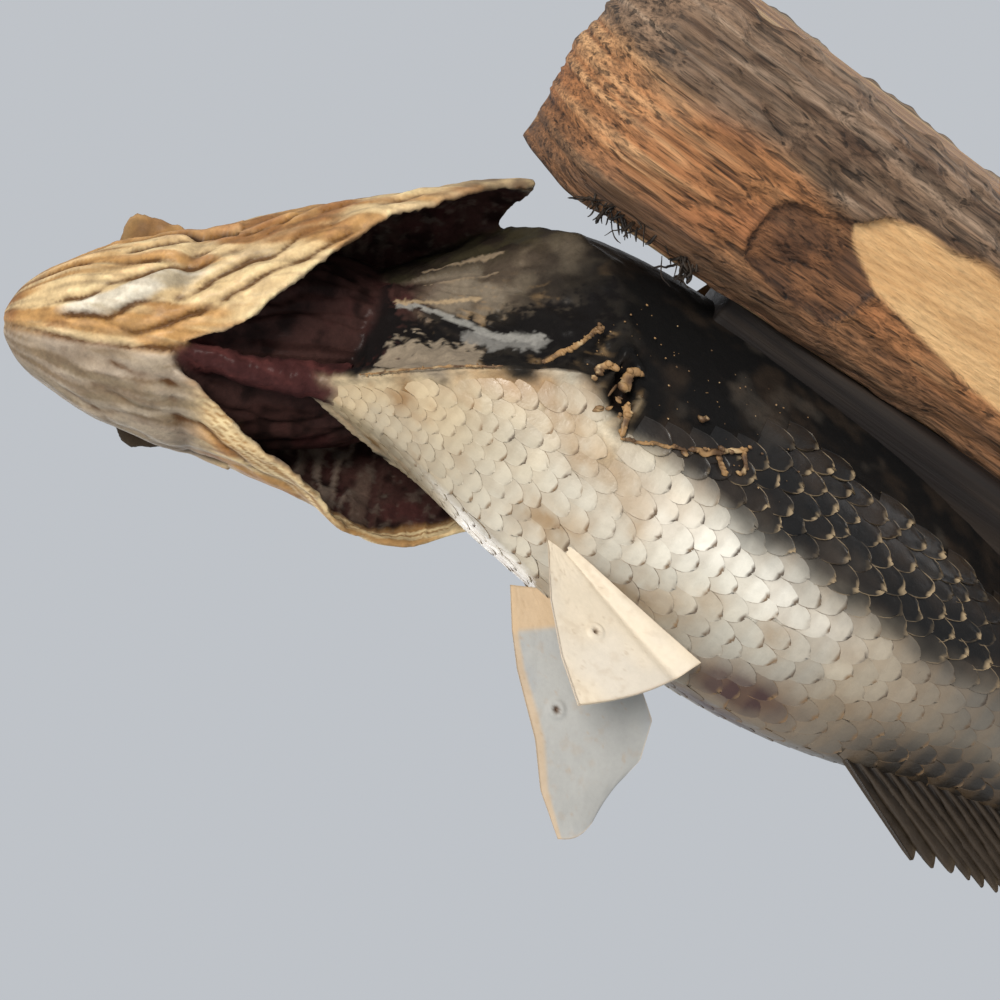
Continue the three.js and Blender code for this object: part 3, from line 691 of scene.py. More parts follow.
# radius and height of the dried skin about an eye, in section
ORBIT = np.array([[11.5, -10], [10.2, -2.5], [9.4, 0.4], [8.6, 1.2], [7.8, 0.9], [7.2, -0.8], [6.9, -4],
        [7.0, -10]])


def orbit_wall(at, toward, seed):
    """Raised, uneven skin round an eye in the head frame."""
    toward = np.array(toward, float) / np.linalg.norm(toward)
    x, y = across_from(toward)
    u = np.linspace(0, 2 * np.pi, 72, endpoint=False)
    swell = rough(stack(np.cos(u) * 1.6, np.sin(u) * 1.6, 0 * u + seed), 58)
    rows = [at + (r + 0.5 * w) * (math.cos(a) * x + math.sin(a) * y) + (h + 0.8 * w * (h > -5)) * toward
            for r, h in ORBIT for a, w in zip(u, swell)]
    points = np.array(rows).reshape(len(ORBIT), len(u), 3)
    faces = grid_faces(len(ORBIT) + 1, len(u), True) % (len(ORBIT) * len(u))
    return points.reshape(-1, 3), [tuple(f) for f in faces.tolist()]


# curled end of the upper lip under each eye: station, reach from the middle line, half thickness
LIP_END = np.array([[27, 24, 1.2], [29.5, 32.6, 1.7], [34, 34, 2.4], [41, 32.8, 2.8], [46, 31.6, 2.2],
        [48.5, 28.5, 1.2]])
LIP_END_ROOT, LIP_END_UP = 12.0, 5.0


def lip_end_rings(side):
    """Dried end of the upper lip, curled out from under an eye."""
    rings = []
    for s in np.linspace(LIP_END[0, 0], LIP_END[-1, 0], 24):
        half = (along(LIP_END, s, 1) - LIP_END_ROOT) / 2 + 0.15 * math.sin(s)
        a = np.linspace(0, 2 * np.pi, 36, endpoint=False)
        out = side * (LIP_END_ROOT + half + half * np.cos(a))
        up = LIP_END_UP + along(LIP_END, s, 2) * np.sin(a) + 0.8 * np.cos(a) * math.sin(s / 4)
        rings.append(np.stack([0 * a - s, out, up], -1)[::side])
    return np.array(rings)


EYE_AT = {1: np.array([-36.5, 14.4, 11.2]), -1: np.array([-36.5, -14.4, 11.2])}
EYE_RADIUS = 8.5


def fused(name, parts, grain):
    """One closed mesh out of overlapping parts."""
    obj = mesh(name, *joined(parts))
    modifier = obj.modifiers.new("fuse", "REMESH")
    modifier.mode = "VOXEL"
    modifier.voxel_size = grain
    data = bpy.data.meshes.new_from_object(obj.evaluated_get(bpy.context.evaluated_depsgraph_get()))
    obj.modifiers.clear()
    old, obj.data = obj.data, data
    bpy.data.meshes.remove(old)
    data.polygons.foreach_set("use_smooth", [True] * len(data.polygons))
    return obj


def nearest_label(points, samples):
    """Which sampled surface each point belongs to."""
    total = sum(len(p) for _, p in samples)
    tree = kdtree.KDTree(total)
    labels, i = np.empty(total, int), 0
    for label, group in samples:
        for p in group:
            tree.insert(p, i)
            labels[i] = label
            i += 1
    tree.balance()
    return np.array([labels[tree.find(p)[1]] for p in points])


def flatness(s, away, left):
    """1 where the scales lie under thick black paint on the hidden flank."""
    shoulder = ease(np.interp(s, [150, 170, 186], [124, 117, 108]),
            np.interp(s, [150, 170, 186], [119, 110, 96]), away) \
        * ease(190, 178, s)
    strip = ease(94, 88, away) * ease(168, 180, s) * ease(330, 290, s)
    return np.where(left, np.clip(shoulder + strip, 0, 1), 0.0)


def gap_depth(s, degrees_round):
    """How deep in the torn hole of the left pectoral fin: 1 at its middle."""
    return ease(1.15, 0.30, gap_reach(s, degrees_round))


def gap_reach(s, degrees_round):
    """Distance out from the middle of the hole, 1 at its torn edge."""
    lean = degrees_round - 117 - 0.9 * (s - 150)
    away = np.hypot((s - 150) / 3.8, lean / 8.0)
    return away + 0.16 * rough(stack(s / 2.4, degrees_round / 4, 0 * s), 57)


# side (1 left, -1 right), run of (station, degrees from under the throat), depth, width
CREASES = [
    (1, [(28, 70), (33, 76), (42, 81), (52, 86)], 1.3, 1.6),
    (1, [(20, 22), (28, 28), (41, 37), (52, 44), (64, 52)], 0.9, 1.4),
    (1, [(21, 14), (34, 17), (46, 22), (60, 34)], 0.9, 1.5),
    (1, [(36, 9), (48, 9), (55, 16), (66, 26)], 0.8, 1.2),
    (1, [(12, 50), (24, 52), (40, 57), (58, 68)], 0.7, 1.5),
    (1, [(44, 46), (54, 52), (66, 62), (80, 72)], 0.9, 1.3),
    (1, [(58, 22), (70, 33), (84, 46), (98, 60)], 1.3, 1.3),
    (1, [(56, 32), (68, 42), (82, 56), (98, 70), (114, 80)], 1.3, 1.4),
    (1, [(74, 60), (90, 72), (108, 82), (126, 90)], 1.0, 1.4),
    (1, [(60, 66), (78, 76), (96, 84)], 0.8, 1.6),
    (-1, [(16, 8), (22, 14), (30, 26), (44, 31), (60, 38)], 0.8, 1.6),
    (-1, [(34, 8), (47, 13), (60, 19), (66, 30)], 0.8, 1.4),
    (-1, [(20, 40), (34, 50), (50, 60), (64, 66)], 0.7, 1.6),
    (-1, [(58, 34), (72, 52), (88, 70), (106, 84)], 0.9, 1.3),
]

# marks on the dried shoulder: run of (station, degrees from the back), half width, colour, strength
SHOULDER_MARKS = [
    ([(89, 203), (92, 192), (96, 180), (100, 168), (106, 151), (111, 136)], 4.6, (0.006, 0.005, 0.005),
    0.97),
    ([(118, 118), (126, 108), (136, 98)], 6.0, (0.006, 0.005, 0.005), 0.94),
    ([(84, 224), (89, 182)], 3.0, (0.008, 0.005, 0.005), 0.9),
    # the next two pale grey strokes are painted highlights on the glossy black of the shoulder
    ([(93, 163), (98, 140), (104, 128), (111, 126), (120, 121), (128, 112)], 1.1, (0.32, 0.31, 0.28), 0.7),
    ([(113, 134), (120, 126), (128, 115)], 1.9, (0.25, 0.24, 0.22), 0.6),
    ([(99, 178), (104, 164), (110, 152), (117, 139)], 2.0, (0.34, 0.27, 0.19), 0.75),
    ([(92, 163), (97, 135), (104, 108), (110, 96)], 0.8, (0.36, 0.26, 0.15), 0.85),
    ([(96, 80), (103, 72), (110, 66)], 0.7, (0.30, 0.22, 0.14), 0.7),
    ([(94, 40), (100, 44), (108, 47)], 0.7, (0.34, 0.25, 0.16), 0.6),
]


def mark(s, degrees_round, run, wide, p):
    """1 on a ragged stroke along a run of places, 0 off it."""
    here = stack(s, degrees_round * 0.35)
    reach = np.full(len(s), 1e9)
    for a, b in zip(run[:-1], run[1:]):
        a, b = np.array([a[0], a[1] * 0.35]), np.array([b[0], b[1] * 0.35])
        t = np.clip((here - a) @ (b - a) / ((b - a) @ (b - a)), 0, 1)
        reach = np.minimum(reach, np.linalg.norm(here - a - t[:, None] * (b - a), axis=1))
    return ease(1.1, 0.75, reach / wide + 0.55 * rough(p / 2.6, 91) + 0.40 * rough(p / 1.1, 92))


INK_LEVEL = 0.09


def build_skin():
    """One skin over head, gill covers, chambers and body."""
    to_row = lambda p: body_to_row(head_to_body(p))
    head_rings = np.array([head_point(np.full(RING, s), ANGLES) for s in np.concatenate(
        [[0.3, 1, 2, 3.5], np.arange(5, 104.1, 1.5)])])
    wall, trunk, bar = chamber_rings(30), trunk_rings(), isthmus_rings()
    covers = {1: cover_sheet(COVER_LEFT, 1, 1), -1: cover_sheet(COVER_RIGHT, -1, 4)}
    parts = [closed_loft(body_to_row(np.concatenate([wall, trunk]))),
             closed_loft(to_row(head_rings)), closed_loft(body_to_row(bar))]
    for outer, inner in covers.values():
        parts.append(closed_loft(to_row(np.concatenate([outer, inner[:, ::-1]], 1))))
    for side, at in EYE_AT.items():
        look = ORBIT_LOOK * [1, side, 1]
        p, f = orbit_wall(at + ORBIT_OUT * look, look, side)
        parts.append((to_row(p), f))
        parts.append(closed_loft(to_row(lip_end_rings(side))))
    skin = fused("fish_skin", parts, SKIN_GRAIN)
    row = positions(skin)
    count, edges = len(row), read(skin.data.edges, "vertices", 2, int)
    row = spread(edges, count, row, 2)
    body = row_to_body(row)
    head = body_to_head(body)
    thin = lambda grid, k: grid.reshape(-1, 3)[::k]
    samples = [(TRUNK, body_to_row(thin(trunk, 5))), (WALL, body_to_row(thin(wall, 2))),
               (SKULL, to_row(thin(head_rings, 3))), (ISTHMUS, body_to_row(thin(bar, 1))),
               (OUTSIDE_L, to_row(thin(covers[1][0], 2))), (INSIDE_L, to_row(thin(covers[1][1], 2))),
               (OUTSIDE_R, to_row(thin(covers[-1][0], 2))), (INSIDE_R, to_row(thin(covers[-1][1], 2)))]
    label = nearest_label(row, samples)
    part = spread(edges, count, np.eye(8)[label], 4)

    # ---- relief
    s, y, z = -head[:, 0], head[:, 1], head[:, 2]
    side = np.sign(y)
    around = np.degrees(np.arctan2(np.abs(y), -z))
    across = np.radians(around) * 36
    patch = lambda a, b, k=1: stack(s / a, across / b, side * k)
    strip = lambda a, b, k=1: stack(s / a, flow / b, side * k)
    flow = across + 2.5 * noise(stack(s / 22, side * 3, 0 * s), 41) + 1.2 * noise(patch(9, 9), 42)
    out = stack(0 * s, y, z)
    out /= np.linalg.norm(out, axis=1)[:, None] + 1e-9
    out_row = out @ HEAD_TURN.T @ ROLL.T
    face = part[:, SKULL] + part[:, OUTSIDE_L] + part[:, INSIDE_L] + part[:, OUTSIDE_R] + part[:, INSIDE_R]
    soft = ease(3, 16, s) * ease(150, 95, around)
    patchy = 0.35 + 0.65 * ease(-0.4, 0.5, rough(patch(18, 9), 49))
    fold = 1.5 * np.abs(noise(strip(44, 11, 4), 43)) \
        + patchy * (0.50 * np.abs(noise(strip(30, 4.6), 44))
                    + 0.25 * np.abs(noise(strip(14, 2.1), 46)))
    crumple = 0.18 * rough(patch(7, 5, 2), 45)
    relief = soft * (fold - 0.7 + crumple)
    for crease_side, run, depth, width in CREASES:
        at, angle = np.array(run, float).T
        shift = 2.6 * noise(stack(s / 7, 0 * s, angle[0] + 0 * s), 47)
        off = (around + shift - np.interp(s, at, angle)) * 0.5 / width
        depth = depth * (0.75 + 0.55 * noise(stack(s / 8, angle[0] + 0 * s, 0 * s), 38)) * (1
                if crease_side > 0 else 0.65)
        ends = ease(at[0] - 5, at[0] + 3, s) * ease(at[-1] + 6, at[-1] - 2, s) * (side == crease_side)
        relief = relief + ends * depth * (0.50 * bell(off, 1.9, 1.2) + 0.30 * bell(off, -1.9, 1.1)
                - bell(off, 0, 0.8))
    left = ease(-2, 2, y)
    lens_middle = np.interp(s, [21, 34, 46, 60], [19, 24, 31, 43])
    lens = ((s - 41) / 21) ** 2 + ((around - lens_middle + 2 * noise(stack(s / 7, 0 * s, 0 * s), 48))
            / 7.0) ** 2
    relief += left * 0.9 * np.clip(1 - lens, 0, 1) * ease(66, 58, s)
    relief -= 0.9 * bell(y, 0.8 * np.sin(s / 7), 1.0) * ease(62, 54, s) * (z < 0)
    lips = (s < MOUTH_CORNER + 3) * ease(0, 4, s)
    relief -= 1.5 * bell(z - mouth_height(s), 0, 0.9) * lips * (np.abs(y) > 2)
    relief += 0.8 * ease(0, 3, z - mouth_height(s)) * ease(9, 5, z - mouth_height(s)) * lips
    row = row + out_row * (relief * face)[:, None]
    place(skin, row)
    n = normals(skin)
    bs = -body[:, 0]
    girth = np.degrees(np.arctan2(body[:, 1], body[:, 2])) % 360
    wrinkle = 0.8 * ridges(stack(bs / 13, girth / 9, 0 * bs), 51) + 0.5 * rough(body / 4.5, 52)
    row = row + n * ((part[:, WALL] * (wrinkle - 0.3)) * 0.9)[:, None]
    lattice = rough(body / 3.2, 55, 2) * 0.12 - 5.0 * gap_depth(bs, girth)
    torn = bell(gap_reach(bs, girth), 1.45, 0.30)
    lattice += 1.5 * torn * ease(-0.7, 0.5, rough(body / 3, 58)) - 0.35 * (flatness(bs,
            np.minimum(girth, 360 - girth), girth < 180) > 0.5)
    row = row + n * (part[:, TRUNK] * lattice)[:, None]
    inside = part[:, INSIDE_L] + part[:, INSIDE_R] + part[:, ISTHMUS]
    comb = 0.55 * ridges(patch(2.6, 14), 53)
    row = row + n * (inside * comb)[:, None]
    place(skin, row)
    n = normals(skin)
    hollow = np.einsum("ij,ij->i", spread(edges, count, row, 2) - row, n)
    hollow = spread(edges, count, hollow, 1) / 0.10
    # curvature of the skin: creases for the darker folds, crests for a painted highlight
    crease, crest_highlight = ease(0.15, 1.5, hollow), ease(0.15, 1.5, -hollow)

    # ---- colour
    d = girth
    away = np.minimum(d, 360 - d)
    # painted shade, darkest at the middle of the torn fin hole
    trunk_colour = mix(marking(bs, away, body), HOLE_SHADE, gap_depth(bs, girth))
    trunk_colour = mix(trunk_colour, mix(TAN_EDGE, OCHRE * 0.5, ease(-0.4, 0.5, rough(body / 2, 56))),
                       0.6 * torn * ease(-0.4, 0.4, rough(body / 3, 58)) * ease(108, 118, away))
    under = ease(112, 88, around)
    gold = mix(GOLD, GOLD * np.array([0.62, 0.50, 0.42]), ease(-0.2, 0.7, rough(head / 10, 61)))
    pale = ease(-0.35, 0.45, rough(strip(26, 4.5), 62))
    skinny = mix(gold, CREAM, 0.66 * pale)
    fibre = rough(strip(30, 1.3), 90)
    skinny = skinny * (1 - 0.30 * ease(0.0, 0.8, fibre))[:, None]
    silvery = mix(SILVER, SILVER * np.array([0.55, 0.50, 0.42]), ease(-0.3, 0.6, rough(strip(18, 3), 63)))
    right_jaw = (1 - left) * ease(66, 54, s) * ease(86, 70, around)
    lens_mask = left * ease(1.3, 0.5, lens) * ease(66, 56, s)
    grey_jaw = silvery * np.array([0.50, 0.44, 0.40])
    skinny = mix(skinny, grey_jaw, np.clip(0.9 * right_jaw, 0, 1))
    skinny = mix(skinny, silvery, np.clip(0.85 * lens_mask, 0, 1))
    top = mix(OLIVE, GREY_BROWN * 0.8, ease(-0.2, 0.8, rough(head / 9, 64)))
    skinny = mix(top, skinny, under)
    skinny = mix(skinny, FOLD_BROWN, np.clip(0.95 * crease + 0.25 * ease(0.1, 0.8, rough(head / 4, 60)), 0,
            0.93))
    # painted highlight: lighter on the convex crests of the folds
    skinny = mix(skinny, np.minimum(skinny * 1.4 + 0.05, 0.82), 0.75 * crest_highlight * under)
    rim = bell(around, 86, 12) * ease(66, 50, s) * ease(2, 10, s)
    skinny = mix(skinny, GOLD * 0.7, 0.45 * rim)
    contour = (1 - left) * bell(around, 70 + 0.25 * s, 9) * ease(48, 20, s)
    skinny = mix(skinny, FOLD_BROWN * 0.9, 0.85 * contour)
    lipline = bell(z - mouth_height(s), 0, 1.0) * lips
    skinny = mix(skinny, LIP_LINE, 0.85 * lipline)
    cavity = mix(CHAMBER, CHAMBER * 0.35, ease(-0.2, 0.6, rough(head / 5, 65)))
    cavity = mix(cavity, CHAMBER_RED, 0.6 * ease(0.1, 0.8, rough(head / 8, 66)))
    throat = np.maximum(ease(51, 57, s) * ease(70, 50, around), ease(62, 70, s) * ease(135, 115, around))
    skull_colour = mix(skinny, cavity, throat)
    edge_low = np.where(y > 0, along(COVER_LEFT, s, 3), along(COVER_RIGHT, s, 3))
    from_edge = (around - edge_low) * 0.7
    band = ease(13, 9, from_edge + 1.5 * noise(stack(s / 7, 0 * s, side), 59)) * ease(84, 96, s)
    stripes = ease(-0.2, 0.5, rough(stack(s / 30, from_edge / 1.1, side), 67))
    rim_colour = mix(GOLD * 0.75, CREAM * 1.05, stripes)
    inner_colour = mix(cavity, rim_colour, np.where(y < 0, 0.92, 0.25) * band)
    speckle = ease(0.2, 0.8, rough(head / 2.2, 68)) * 0.35
    inner_colour = mix(inner_colour, GREY_BROWN, speckle * (1 - band))
    teeth = ease(0.25, 0.8, ridges(patch(2.6, 14), 53)) * (1 - band) * ease(112, 92, s)
    inner_colour = mix(inner_colour, RAKER, np.where(y < 0, 0.75, 0.3) * teeth)
    tip = ease(112, 134, s) * left
    skinny = mix(skinny, mix(rim_colour, FOLD_BROWN, 0.6 * crease),
            0.8 * ease(17, 9, from_edge) * ease(58, 66, s) * (y < 0))
    nub = (1 - left) * ease(24, 28, np.abs(y)) * ease(26, 28, s) * ease(52, 46, s) * (z > -4)
    skull_colour = mix(skull_colour, LIP_NUB, 0.92 * nub)
    outer_colour = mix(skinny, COVER_TIP, 0.75 * tip * ease(-0.5, 0.5, rough(head / 8, 69)))
    ahead = girdle(np.radians(away)) - bs
    shoulder = mix(WALL_TAN, WALL_BROWN, ease(-0.4, 0.5, rough(body / [9, 6, 6], 71)))
    shoulder = mix(shoulder, WALL_CREST,
                   0.6 * ease(0.3, 0.9, ridges(stack(bs / 9, d / 7, 0 * bs), 72))
                   * ease(-0.3, 0.5, rough(body / 6, 73)))
    inky = np.clip(ease(110, 132, bs + 4 * noise(body / 7, 75)) * ease(25, 70, away)
                   + ease(98, 112, away) * ease(30, 20, ahead), 0, 1)
    inky = np.maximum(inky, bell(ahead, -9, 4) * ease(150, 165, away))
    shoulder = mix(shoulder, BLACK * 1.4, 0.93 * inky)
    crust = bell(ahead, 3.0, 2.6) * ease(126, 142, away) * ease(-0.5, 0.4, rough(body / [6, 2, 2], 76))
    shoulder = mix(shoulder, CRUST_PALE, np.clip(crust, 0, 0.85))
    flecks = ease(0.62, 0.95, ridges(stack(bs / 8, d / 4, 0 * bs), 77)) * ease(0.1, 0.6,
            rough(body / 7, 78))
    shoulder = mix(shoulder, FLECK, 0.5 * flecks * ease(60, 100, away))
    nape = mix(OLIVE * 0.8, BLACK_BROWN, ease(-0.3, 0.5, rough(body / 6, 79)))
    shoulder = mix(shoulder, nape, ease(62, 40, away))
    throat_side = ease(104, 92, bs) * ease(50, 80, away)
    shoulder = mix(shoulder, cavity, np.clip(throat_side + ease(160, 172, away) * ease(-4, -12, ahead), 0,
            1))
    for run, wide, shade_of, strength in SHOULDER_MARKS:
        shoulder = mix(shoulder, np.array(shade_of), strength * mark(bs, d, run, wide, body))
    bar_colour = mix(CHAMBER_RED * 0.75, ISTHMUS_RED, 0.5 * ease(0.1, 0.9, rough(body / [7, 2, 2], 74)))
    colour = sum(part[:, k, None] * c for k, c in (
        (TRUNK, trunk_colour), (WALL, shoulder), (SKULL, skull_colour), (ISTHMUS, bar_colour),
        (OUTSIDE_L, outer_colour), (OUTSIDE_R, outer_colour), (INSIDE_L, inner_colour),
        (INSIDE_R, inner_colour)))
    paint(skin, "tint", np.clip(colour, 0.003, 0.9))
    black = dark_amount(bs, away) * part[:, TRUNK] + part[:, WALL]
    gloss = 0.5 - 0.16 * black + 0.10 * inside - 0.08 * part[:, TRUNK]
    paint(skin, "coarse", np.clip(gloss, 0.2, 0.8))
    shade = Nodes("dried_skin")
    tint = shade.attribute("tint")
    fine = shade.noise(shade.coords(), 700.0, 4, 0.6)
    blot = shade.noise(shade.coords(), 190.0, 4, 0.6)
    tint = shade.blend("MULTIPLY", tint, shade.ramp(blot, [(0.3, 0.72), (0.65, 1.0)]), 0.8)
    shade.link(shade.blend("OVERLAY", tint, fine, 0.35), "Base Color")
    shade.link(shade.maths("ADD", shade.attribute("coarse", "Fac"), shade.maths("MULTIPLY_ADD", blot, 0.3)),
               "Roughness")
    streak = shade.noise(shade.coords(), 420.0, 5, 0.65, 0.6)
    shade.link(shade.bump(fine, 0.35, 0.0004, shade.bump(streak, 0.5, 0.0008)), "Normal")
    pale_look = shade.finish(Specular_IOR_Level=0.45, Coat_Weight=0.10, Coat_Roughness=0.25)
    finish_piece(skin, pale_look, "skin",
                 "trunk_front", "trunk_mid", "tail_stalk", "head", "lower_jaw", "isthmus",
                 "gill_cover_left", "gill_cover_right")
    ink_look = pale_look.copy()
    ink_look.name = "painted_black_skin"
    ink = ink_look.node_tree.nodes["Principled BSDF"].inputs
    ink["Specular IOR Level"].default_value = 0.10
    ink["Coat Weight"].default_value = 0.06
    skin.data.materials.append(ink_look)
    first = loop_corners(skin)[read(skin.data.polygons, "loop_start", 1, int)[:, 0]]
    skin.data.polygons.foreach_set("material_index", (colour.mean(1) < INK_LEVEL)[first].astype(int))


build_skin()


# ---- scales -------------------------------------------------------------------------------
ARC_STEPS = 720
FIRST_ROW, LAST_ROW = 82.0, 398
ROW_STEP = 0.94
PATCH = 0.0015  # half the width of a scale's patch on OFBake


def ring_arc(s):
    """Cumulative length round the body at a station, from the back over the left side."""
    a = np.linspace(0, 2 * np.pi, ARC_STEPS + 1)
    return a, lengths(body_point(np.full(ARC_STEPS + 1, float(s)), a))


def scale_places():
    """Roots of all scales: station, angle, size, row by row from throat to tail."""
    places, s, row = [], FIRST_ROW, 0
    while s < LAST_ROW:
        a, arc = ring_arc(s)
        pitch = (3.1 + 2.7 * ease(90, 165, s) + 0.8 * ease(170, 230, s)) * (1 - 0.34 * ease(265, 390, s))
        wanted = arc[-1] / (pitch * 1.02)
        count = int(round(wanted / 6.0) * 6)
        at = (np.arange(count) + 0.5 * (row % 2) + rng.normal(0, 0.085, count)) / count % 1.0
        angle = np.interp(at * arc[-1], arc, a)
        where = s + rng.normal(0, 0.09, count) * pitch
        degrees = np.degrees(angle)
        away = np.minimum(degrees, 360 - degrees)
        beside = np.maximum(girdle(angle + 0.10), girdle(angle - 0.10))
        keep = (where > girdle(angle) + 2.4) & (where > beside + 0.6) & (gap_reach(where, degrees) > 1.75) \
            & (flatness(where, away, degrees < 180) < 0.6)
        for i in np.nonzero(keep)[0]:
            places.append((where[i], angle[i], pitch, arc[-1] / count))
        s += pitch * ROW_STEP
        row += 1
    return np.array(places)


def build_scales():
    """All scales as four joined meshes: black and white, left and right."""
    places = scale_places()
    s, angle, pitch, across = places.T
    count = len(places)
    cell = lambda values: values[:, None, None]
    away = np.minimum(np.degrees(angle) % 360, 360 - np.degrees(angle) % 360)
    left = np.degrees(angle) % 360 < 180
    root = body_point(s, angle)
    around = np.abs(np.degrees(np.arctan2(root[:, 1] - along(BODY, s, 4), root[:, 2])))
    dark = dark_amount(s, around)
    nu, nv = ((8, 11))
    across_v = np.linspace(-1, 1, nv)
    u, v = np.meshgrid(1 - (1 - np.linspace(0, 1, nu)) ** 1.7,
                       np.sign(across_v) * (1 - (1 - np.abs(across_v)) ** 1.6), indexing="ij")
    outline = np.sqrt(np.clip(1 - np.clip((u - 0.40) / 0.60, 0, 1) ** 2.2 * 0.985, 0, 1)) * (0.80
            + 0.20 * ease(0, 0.4, u))
    length = pitch * (1.62 + rng.normal(0, 0.06, count))
    width = across * (1.15 + rng.normal(0, 0.05, count))
    jag = rng.normal(0, 1, (count, 3))
    wavy = noise(stack(2.4 * v + 7.3 * cell(np.arange(count)), 1.5 * u + 0 * cell(s), 0 * v), 89)
    along_s = cell(s) + cell(length) * (
        u * (1 + (0.05 + 0.05 * cell(dark)) * wavy) - 0.30 + 0.02 * cell(jag[:, 0]) * v)
    along_s = np.maximum(along_s, cell(girdle(angle)) + 0.9)
    speed = np.linalg.norm(body_point(s, angle + 0.01) - body_point(s, angle - 0.01), axis=1) / 0.02
    turn = cell(angle) + cell(width / 2 / speed) * (v * outline + 0.05 * cell(jag[:, 1]) * u)
    surface = lambda stations, angles, grow=0: body_point(np.clip(stations, BODY_FROM, BODY_TO), angles,
            grow)
    base = surface(along_s, turn, -SCALE_DEPTH)
    base[..., 0] = -along_s
    du = surface(along_s + 0.5, turn) - surface(along_s - 0.5, turn)
    dv = surface(along_s, turn + 0.02) - surface(along_s, turn - 0.02)
    n = np.cross(du, dv)
    centre = stack(base[..., 0], along(BODY, -base[..., 0], 4), 0 * base[..., 0])
    n *= np.sign(np.einsum("...i,...i->...", n, base - centre))[..., None]
    n /= np.linalg.norm(n, axis=-1)[..., None] + 1e-9
    flat = flatness(s, away, left)
    lift = (0.20 + 0.04 * jag[:, 2] + 0.40 * dark * np.abs(rng.normal(0, 1, count))) * (1 - 0.6 * flat)
    lift *= 0.45 + 0.55 * ease(100, 175, s)
    cup = (0.11 + 0.16 * dark) * (1 - 0.7 * flat) * (0.6 + 0.4 * ease(95, 165, s))
    curl = (0.02 + 0.75 * dark * rng.random(count)) * (1 - 0.9 * flat)
    height = 0.12 + cell(lift) * u + cell(cup) * (1 - v**2) * (0.3 + 0.7 * u) \
        + cell(curl) * ease(0.82, 1.0, np.maximum(u, 0.55 * u + 0.5 * np.abs(v)))
    top = base + n * height[..., None]
    thick = (0.20 + 0.22 * dark)[:, None, None, None]
    border = np.concatenate([top[:, :, 0], top[:, -1, 1:-1], top[:, ::-1, -1]], 1)
    border_n = np.concatenate([n[:, :, 0], n[:, -1, 1:-1], n[:, ::-1, -1]], 1)
    skirt = border - border_n * (thick[:, :, 0] + 0.05)
    tile = nu * nv
    ring = [i * nv for i in range(nu)] + [(nu - 1) * nv + j for j in range(1, nv - 1)] \
        + [i * nv + nv - 1 for i in range(nu - 1, -1, -1)]
    faces = [(f[0], f[3], f[2], f[1]) for f in grid_faces(nu, nv, False)]
    for k in range(len(ring) - 1):
        faces.append((ring[k], ring[k + 1], tile + k + 1, tile + k))
    per = tile + len(ring)
    points = np.concatenate([top.reshape(count, -1, 3), skirt], 1)
    every = lambda values: np.broadcast_to(values, (count, len(values)))
    rim_u = every(np.concatenate([np.maximum(u, v**2 * ease(0.2, 0.6, u)).ravel(), np.ones(len(ring))]))
    flow = every(np.concatenate([u.ravel(), u.ravel()[ring]]))
    flow_v = np.concatenate([v.ravel(), v.ravel()[ring]])
    whole = marking(s, around, root)
    variation = np.clip(1 + 0.05 * rng.normal(0, 1, count), 0.85, 1.12)
    spot_s = -points[..., 0]
    spot_angle = np.degrees(np.arctan2(points[..., 1] - along(BODY, spot_s, 4), points[..., 2]))
    spot_away = np.abs((spot_angle + 180) % 360 - 180)
    tint = 0.30 * whole[:, None] + 0.70 * marking(spot_s, spot_away, points)
    tint = tint * cell(variation)
    near = bell(around, 137, 9) * ease(145, 165, s) * (1 - dark)
    edge_colour = mix(mix(RIM_OCHRE, RIM_BROWN, rng.random(count)), TAN_EDGE, dark)
    edge_colour = mix(edge_colour, RIM_INK, 0.8 * near)
    ochre = ease(-0.1, 0.8, rough(root / 13, 82)) * (0.25 + 0.75 * ease(110, 170, s))
    edge_amount = (0.75 + 0.45 * rng.random(count) + 0.5 * ochre + 0.4 * near) * (1 - dark) \
        + dark * (0.65 + 0.55 * rng.random(count)) * (1 - 0.92 * flat) \
        * ease(-0.9, 0.3, rough(root / 16, 81))
    edge_amount *= (0.35 + 0.65 * ease(95, 150, s)) * np.where(dark > 0.5, ease(58, 88, away), 1)
    patchy = 0.15 + 0.85 * ease(-0.4, 0.35, rough(points / 3.2, 83))
    rim_mask = ease(0.885, 0.965, rim_u) * np.clip(edge_amount[:, None] * patchy, 0, 0.95)
    root_shade = ease(0.66, 0.42, flow)
    colour = mix(tint, edge_colour[:, None, :], rim_mask)
    colour = mix(colour, np.where(cell(dark) > 0.5, BLACK, OCHRE * 0.6), root_shade * 0.22)
    quarter = np.where(dark > 0.5, np.where(left, 0, 1), np.where(left, 2, 3))
    bright = scale_material("scales_white", 0.27, Specular_IOR_Level=0.45, Coat_Weight=0.14,
            Coat_Roughness=0.3)
    inky = scale_material("scales_black", 0.30, Specular_IOR_Level=0.22, Coat_Weight=0.10,
            Coat_Roughness=0.15)
    for k, (name, look) in enumerate((("scales_back_left", inky), ("scales_back_right", inky),
                                      ("scales_belly_left", bright), ("scales_belly_right", bright))):
        pick = np.nonzero(quarter == k)[0]
        face = (np.array(faces)[None] + cell(np.arange(len(pick)) * per)).reshape(-1, 4)
        obj = mesh(name, body_to_row(points[pick].reshape(-1, 3)), face)
        paint(obj, "tint", np.clip(colour[pick].reshape(-1, 3), 0.003, 0.9))
        paint(obj, "rim", rim_mask[pick].ravel())
        uv = obj.data.uv_layers.new(name="OFBake")
        loops = loop_corners(obj)
        owner, local = pick[loops // per], loops % per
        middle_uv = np.stack([0.03 + 0.94 * (s[owner] - 80) / 320,
                0.03 + 0.94 * angle[owner] / (2 * np.pi)], 1)
        patch = PATCH * np.stack([flow[owner, local] * 2 - 1, flow_v[local]], 1)
        uv.data.foreach_set("uv", (middle_uv + patch).ravel())
        finish_piece(obj, look, "skin")


